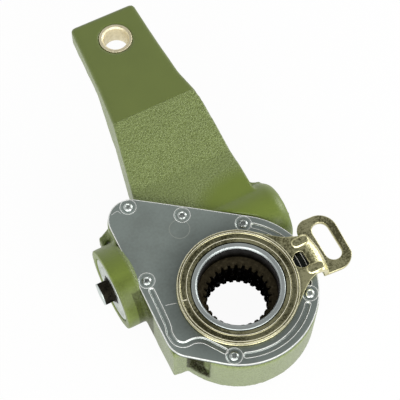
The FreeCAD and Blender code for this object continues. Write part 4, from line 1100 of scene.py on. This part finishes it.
# Each soft lamp's name, place, side and power
LAMPS = (("front_left_softbox", (-0.60, -0.50, 0.35), 0.6, 4.2),
         ("front_softbox", (0.10, -0.75, 0.40), 0.6, 3.4),
         ("right_strip", (0.75, 0.10, 0.30), 0.4, 2.5))
LAMP_AIM = (0, 0.06, 0.02)


class ADJUSTER_OT_stage(bpy.types.Operator):
    """Set the floor, the lamps, the surroundings and the camera"""

    bl_idname = "adjuster.stage"
    bl_label = "Stage"

    def execute(self, context):
        scene = context.scene
        scene.view_settings.view_transform = "Standard"
        self.floor()
        self.surroundings(scene)
        for lamp in LAMPS:
            self.lamp(scene, *lamp)
        self.camera(scene)
        return {"FINISHED"}

    def floor(self):
        """Pale floor that the part lies on."""
        mesh = bpy.data.meshes.new("floor")
        half = 3.0
        corners = ((-half, -half), (half, -half), (half, half), (-half, half))
        mesh.from_pydata([(x, y, FLOOR) for x, y in corners], [], [(0, 1, 2, 3)])
        floor = mesh_object("floor", mesh)
        material = bpy.data.materials.new("pale_floor")
        material.use_nodes = True
        tree = material.node_tree
        tree.nodes.clear()
        paths = add_node(tree, "ShaderNodeLightPath")
        seen = paths.outputs["Is Camera Ray"]
        for ray in ("Is Glossy Ray", "Is Transmission Ray"):
            seen = add_node(tree, "ShaderNodeMath", {0: seen, 1: paths.outputs[ray]}, operation="MAXIMUM")
        seen = add_node(tree, "ShaderNodeMath", {0: seen, 1: 0.95}, operation="MULTIPLY")
        matt = add_node(tree, "ShaderNodeBsdfDiffuse", {"Color": linear("#F4F4F2")})
        lit = add_node(tree, "ShaderNodeEmission", {"Color": (1, 1, 1, 1), "Strength": 1.0})
        both = add_node(tree, "ShaderNodeMixShader", {0: seen, 1: matt, 2: lit})
        add_node(tree, "ShaderNodeOutputMaterial", {"Surface": both})
        mesh.materials.append(material)

    def surroundings(self, scene):
        """Light tent: bright at its sides and greyer overhead."""
        world = bpy.data.worlds.new("light_tent")
        scene.world = world
        world.use_nodes = True
        tree = world.node_tree
        tree.nodes.clear()
        coords = add_node(tree, "ShaderNodeTexCoord")
        place = add_node(tree, "ShaderNodeSeparateXYZ", {"Vector": coords.outputs["Generated"]})
        level = add_node(tree, "ShaderNodeMapRange", {"Value": place.outputs["Z"], "From Min": 0.15,
                                                      "From Max": 0.85, "To Min": 1.1, "To Max": 0.33})
        light = add_node(tree, "ShaderNodeBackground", {"Color": (1, 1, 1, 1), "Strength": level})
        white = add_node(tree, "ShaderNodeBackground", {"Color": (1, 1, 1, 1), "Strength": 1.0})
        paths = add_node(tree, "ShaderNodeLightPath")
        seen = add_node(tree, "ShaderNodeMath", {0: paths.outputs["Is Camera Ray"],
                                                 1: paths.outputs["Is Transmission Ray"]}, operation="MAXIMUM")
        both = add_node(tree, "ShaderNodeMixShader", {0: seen, 1: light, 2: white})
        add_node(tree, "ShaderNodeOutputWorld", {"Surface": both})

    def lamp(self, scene, name, place, side, power):
        """A square soft lamp that points at the part."""
        data = bpy.data.lights.new(name, "AREA")
        data.size = side
        data.energy = power
        lamp = bpy.data.objects.new(name, data)
        scene.collection.objects.link(lamp)
        lamp.location = place
        lamp.rotation_euler = (Vector(LAMP_AIM) - Vector(place)).to_track_quat("-Z", "Y").to_euler()

    def camera(self, scene):
        """The camera, over the bore and a little in front of it."""
        right = Vector(CAMERA_RIGHT).normalized()
        up = -Vector(CAMERA_DOWN)
        back = right.cross(up).normalized()
        up = back.cross(right).normalized()
        data = bpy.data.cameras.new("camera")
        data.sensor_width = SENSOR
        data.sensor_fit = "HORIZONTAL"
        data.lens = CAMERA_FOCAL * SENSOR / FRAME_WIDTH
        data.clip_start = 0.01
        camera = bpy.data.objects.new("camera", data)
        scene.collection.objects.link(camera)
        turn = Matrix((right, up, back)).transposed()
        camera.matrix_world = Matrix.Translation(Vector(CAMERA_PLACE) * MM) @ turn.to_4x4()
        scene.camera = camera


class ADJUSTER_PT_panel(bpy.types.Panel):
    """Panel that lists the pieces"""

    bl_idname = "ADJUSTER_PT_panel"
    bl_label = "Adjuster"
    bl_space_type = "VIEW_3D"
    bl_region_type = "UI"
    bl_category = "Adjuster"

    def draw(self, context):
        for piece in PIECES:
            self.layout.operator(piece.bl_idname)


PIECES = (ADJUSTER_OT_casting, ADJUSTER_OT_eye, ADJUSTER_OT_cover, ADJUSTER_OT_marks, ADJUSTER_OT_screws,
          ADJUSTER_OT_hub, ADJUSTER_OT_control, ADJUSTER_OT_front, ADJUSTER_OT_wheel, ADJUSTER_OT_shaft,
          ADJUSTER_OT_carried, ADJUSTER_OT_stage)
GROUPS = {"adjuster_cover": CoverSizes, "adjuster_control": ControlSizes,
          "adjuster_casting": CastingSizes, "adjuster_finishes": Finishes}


def register():
    """Register the property groups, operators and panel."""
    for name, group in GROUPS.items():
        bpy.utils.register_class(group)
        setattr(bpy.types.Scene, name, bpy.props.PointerProperty(type=group))
    for piece in PIECES:
        bpy.utils.register_class(piece)
    bpy.utils.register_class(ADJUSTER_PT_panel)


def unregister():
    """Take the panel, operators and property groups away again."""
    bpy.utils.unregister_class(ADJUSTER_PT_panel)
    for piece in reversed(PIECES):
        bpy.utils.unregister_class(piece)
    for name, group in reversed(GROUPS.items()):
        delattr(bpy.types.Scene, name)
        bpy.utils.unregister_class(group)


def main():
    """Dress the part."""
    register()
    FINISH.update(finish_set())
    bpy.ops.adjuster.casting()
    bpy.ops.adjuster.eye()
    bpy.ops.adjuster.cover()
    bpy.ops.adjuster.marks()
    bpy.ops.adjuster.screws()
    bpy.ops.adjuster.hub()
    bpy.ops.adjuster.control()
    bpy.ops.adjuster.front()
    bpy.ops.adjuster.wheel()
    bpy.ops.adjuster.shaft()
    bpy.ops.adjuster.carried()
    bpy.ops.adjuster.stage()


if __name__ == "__main__":
    main()
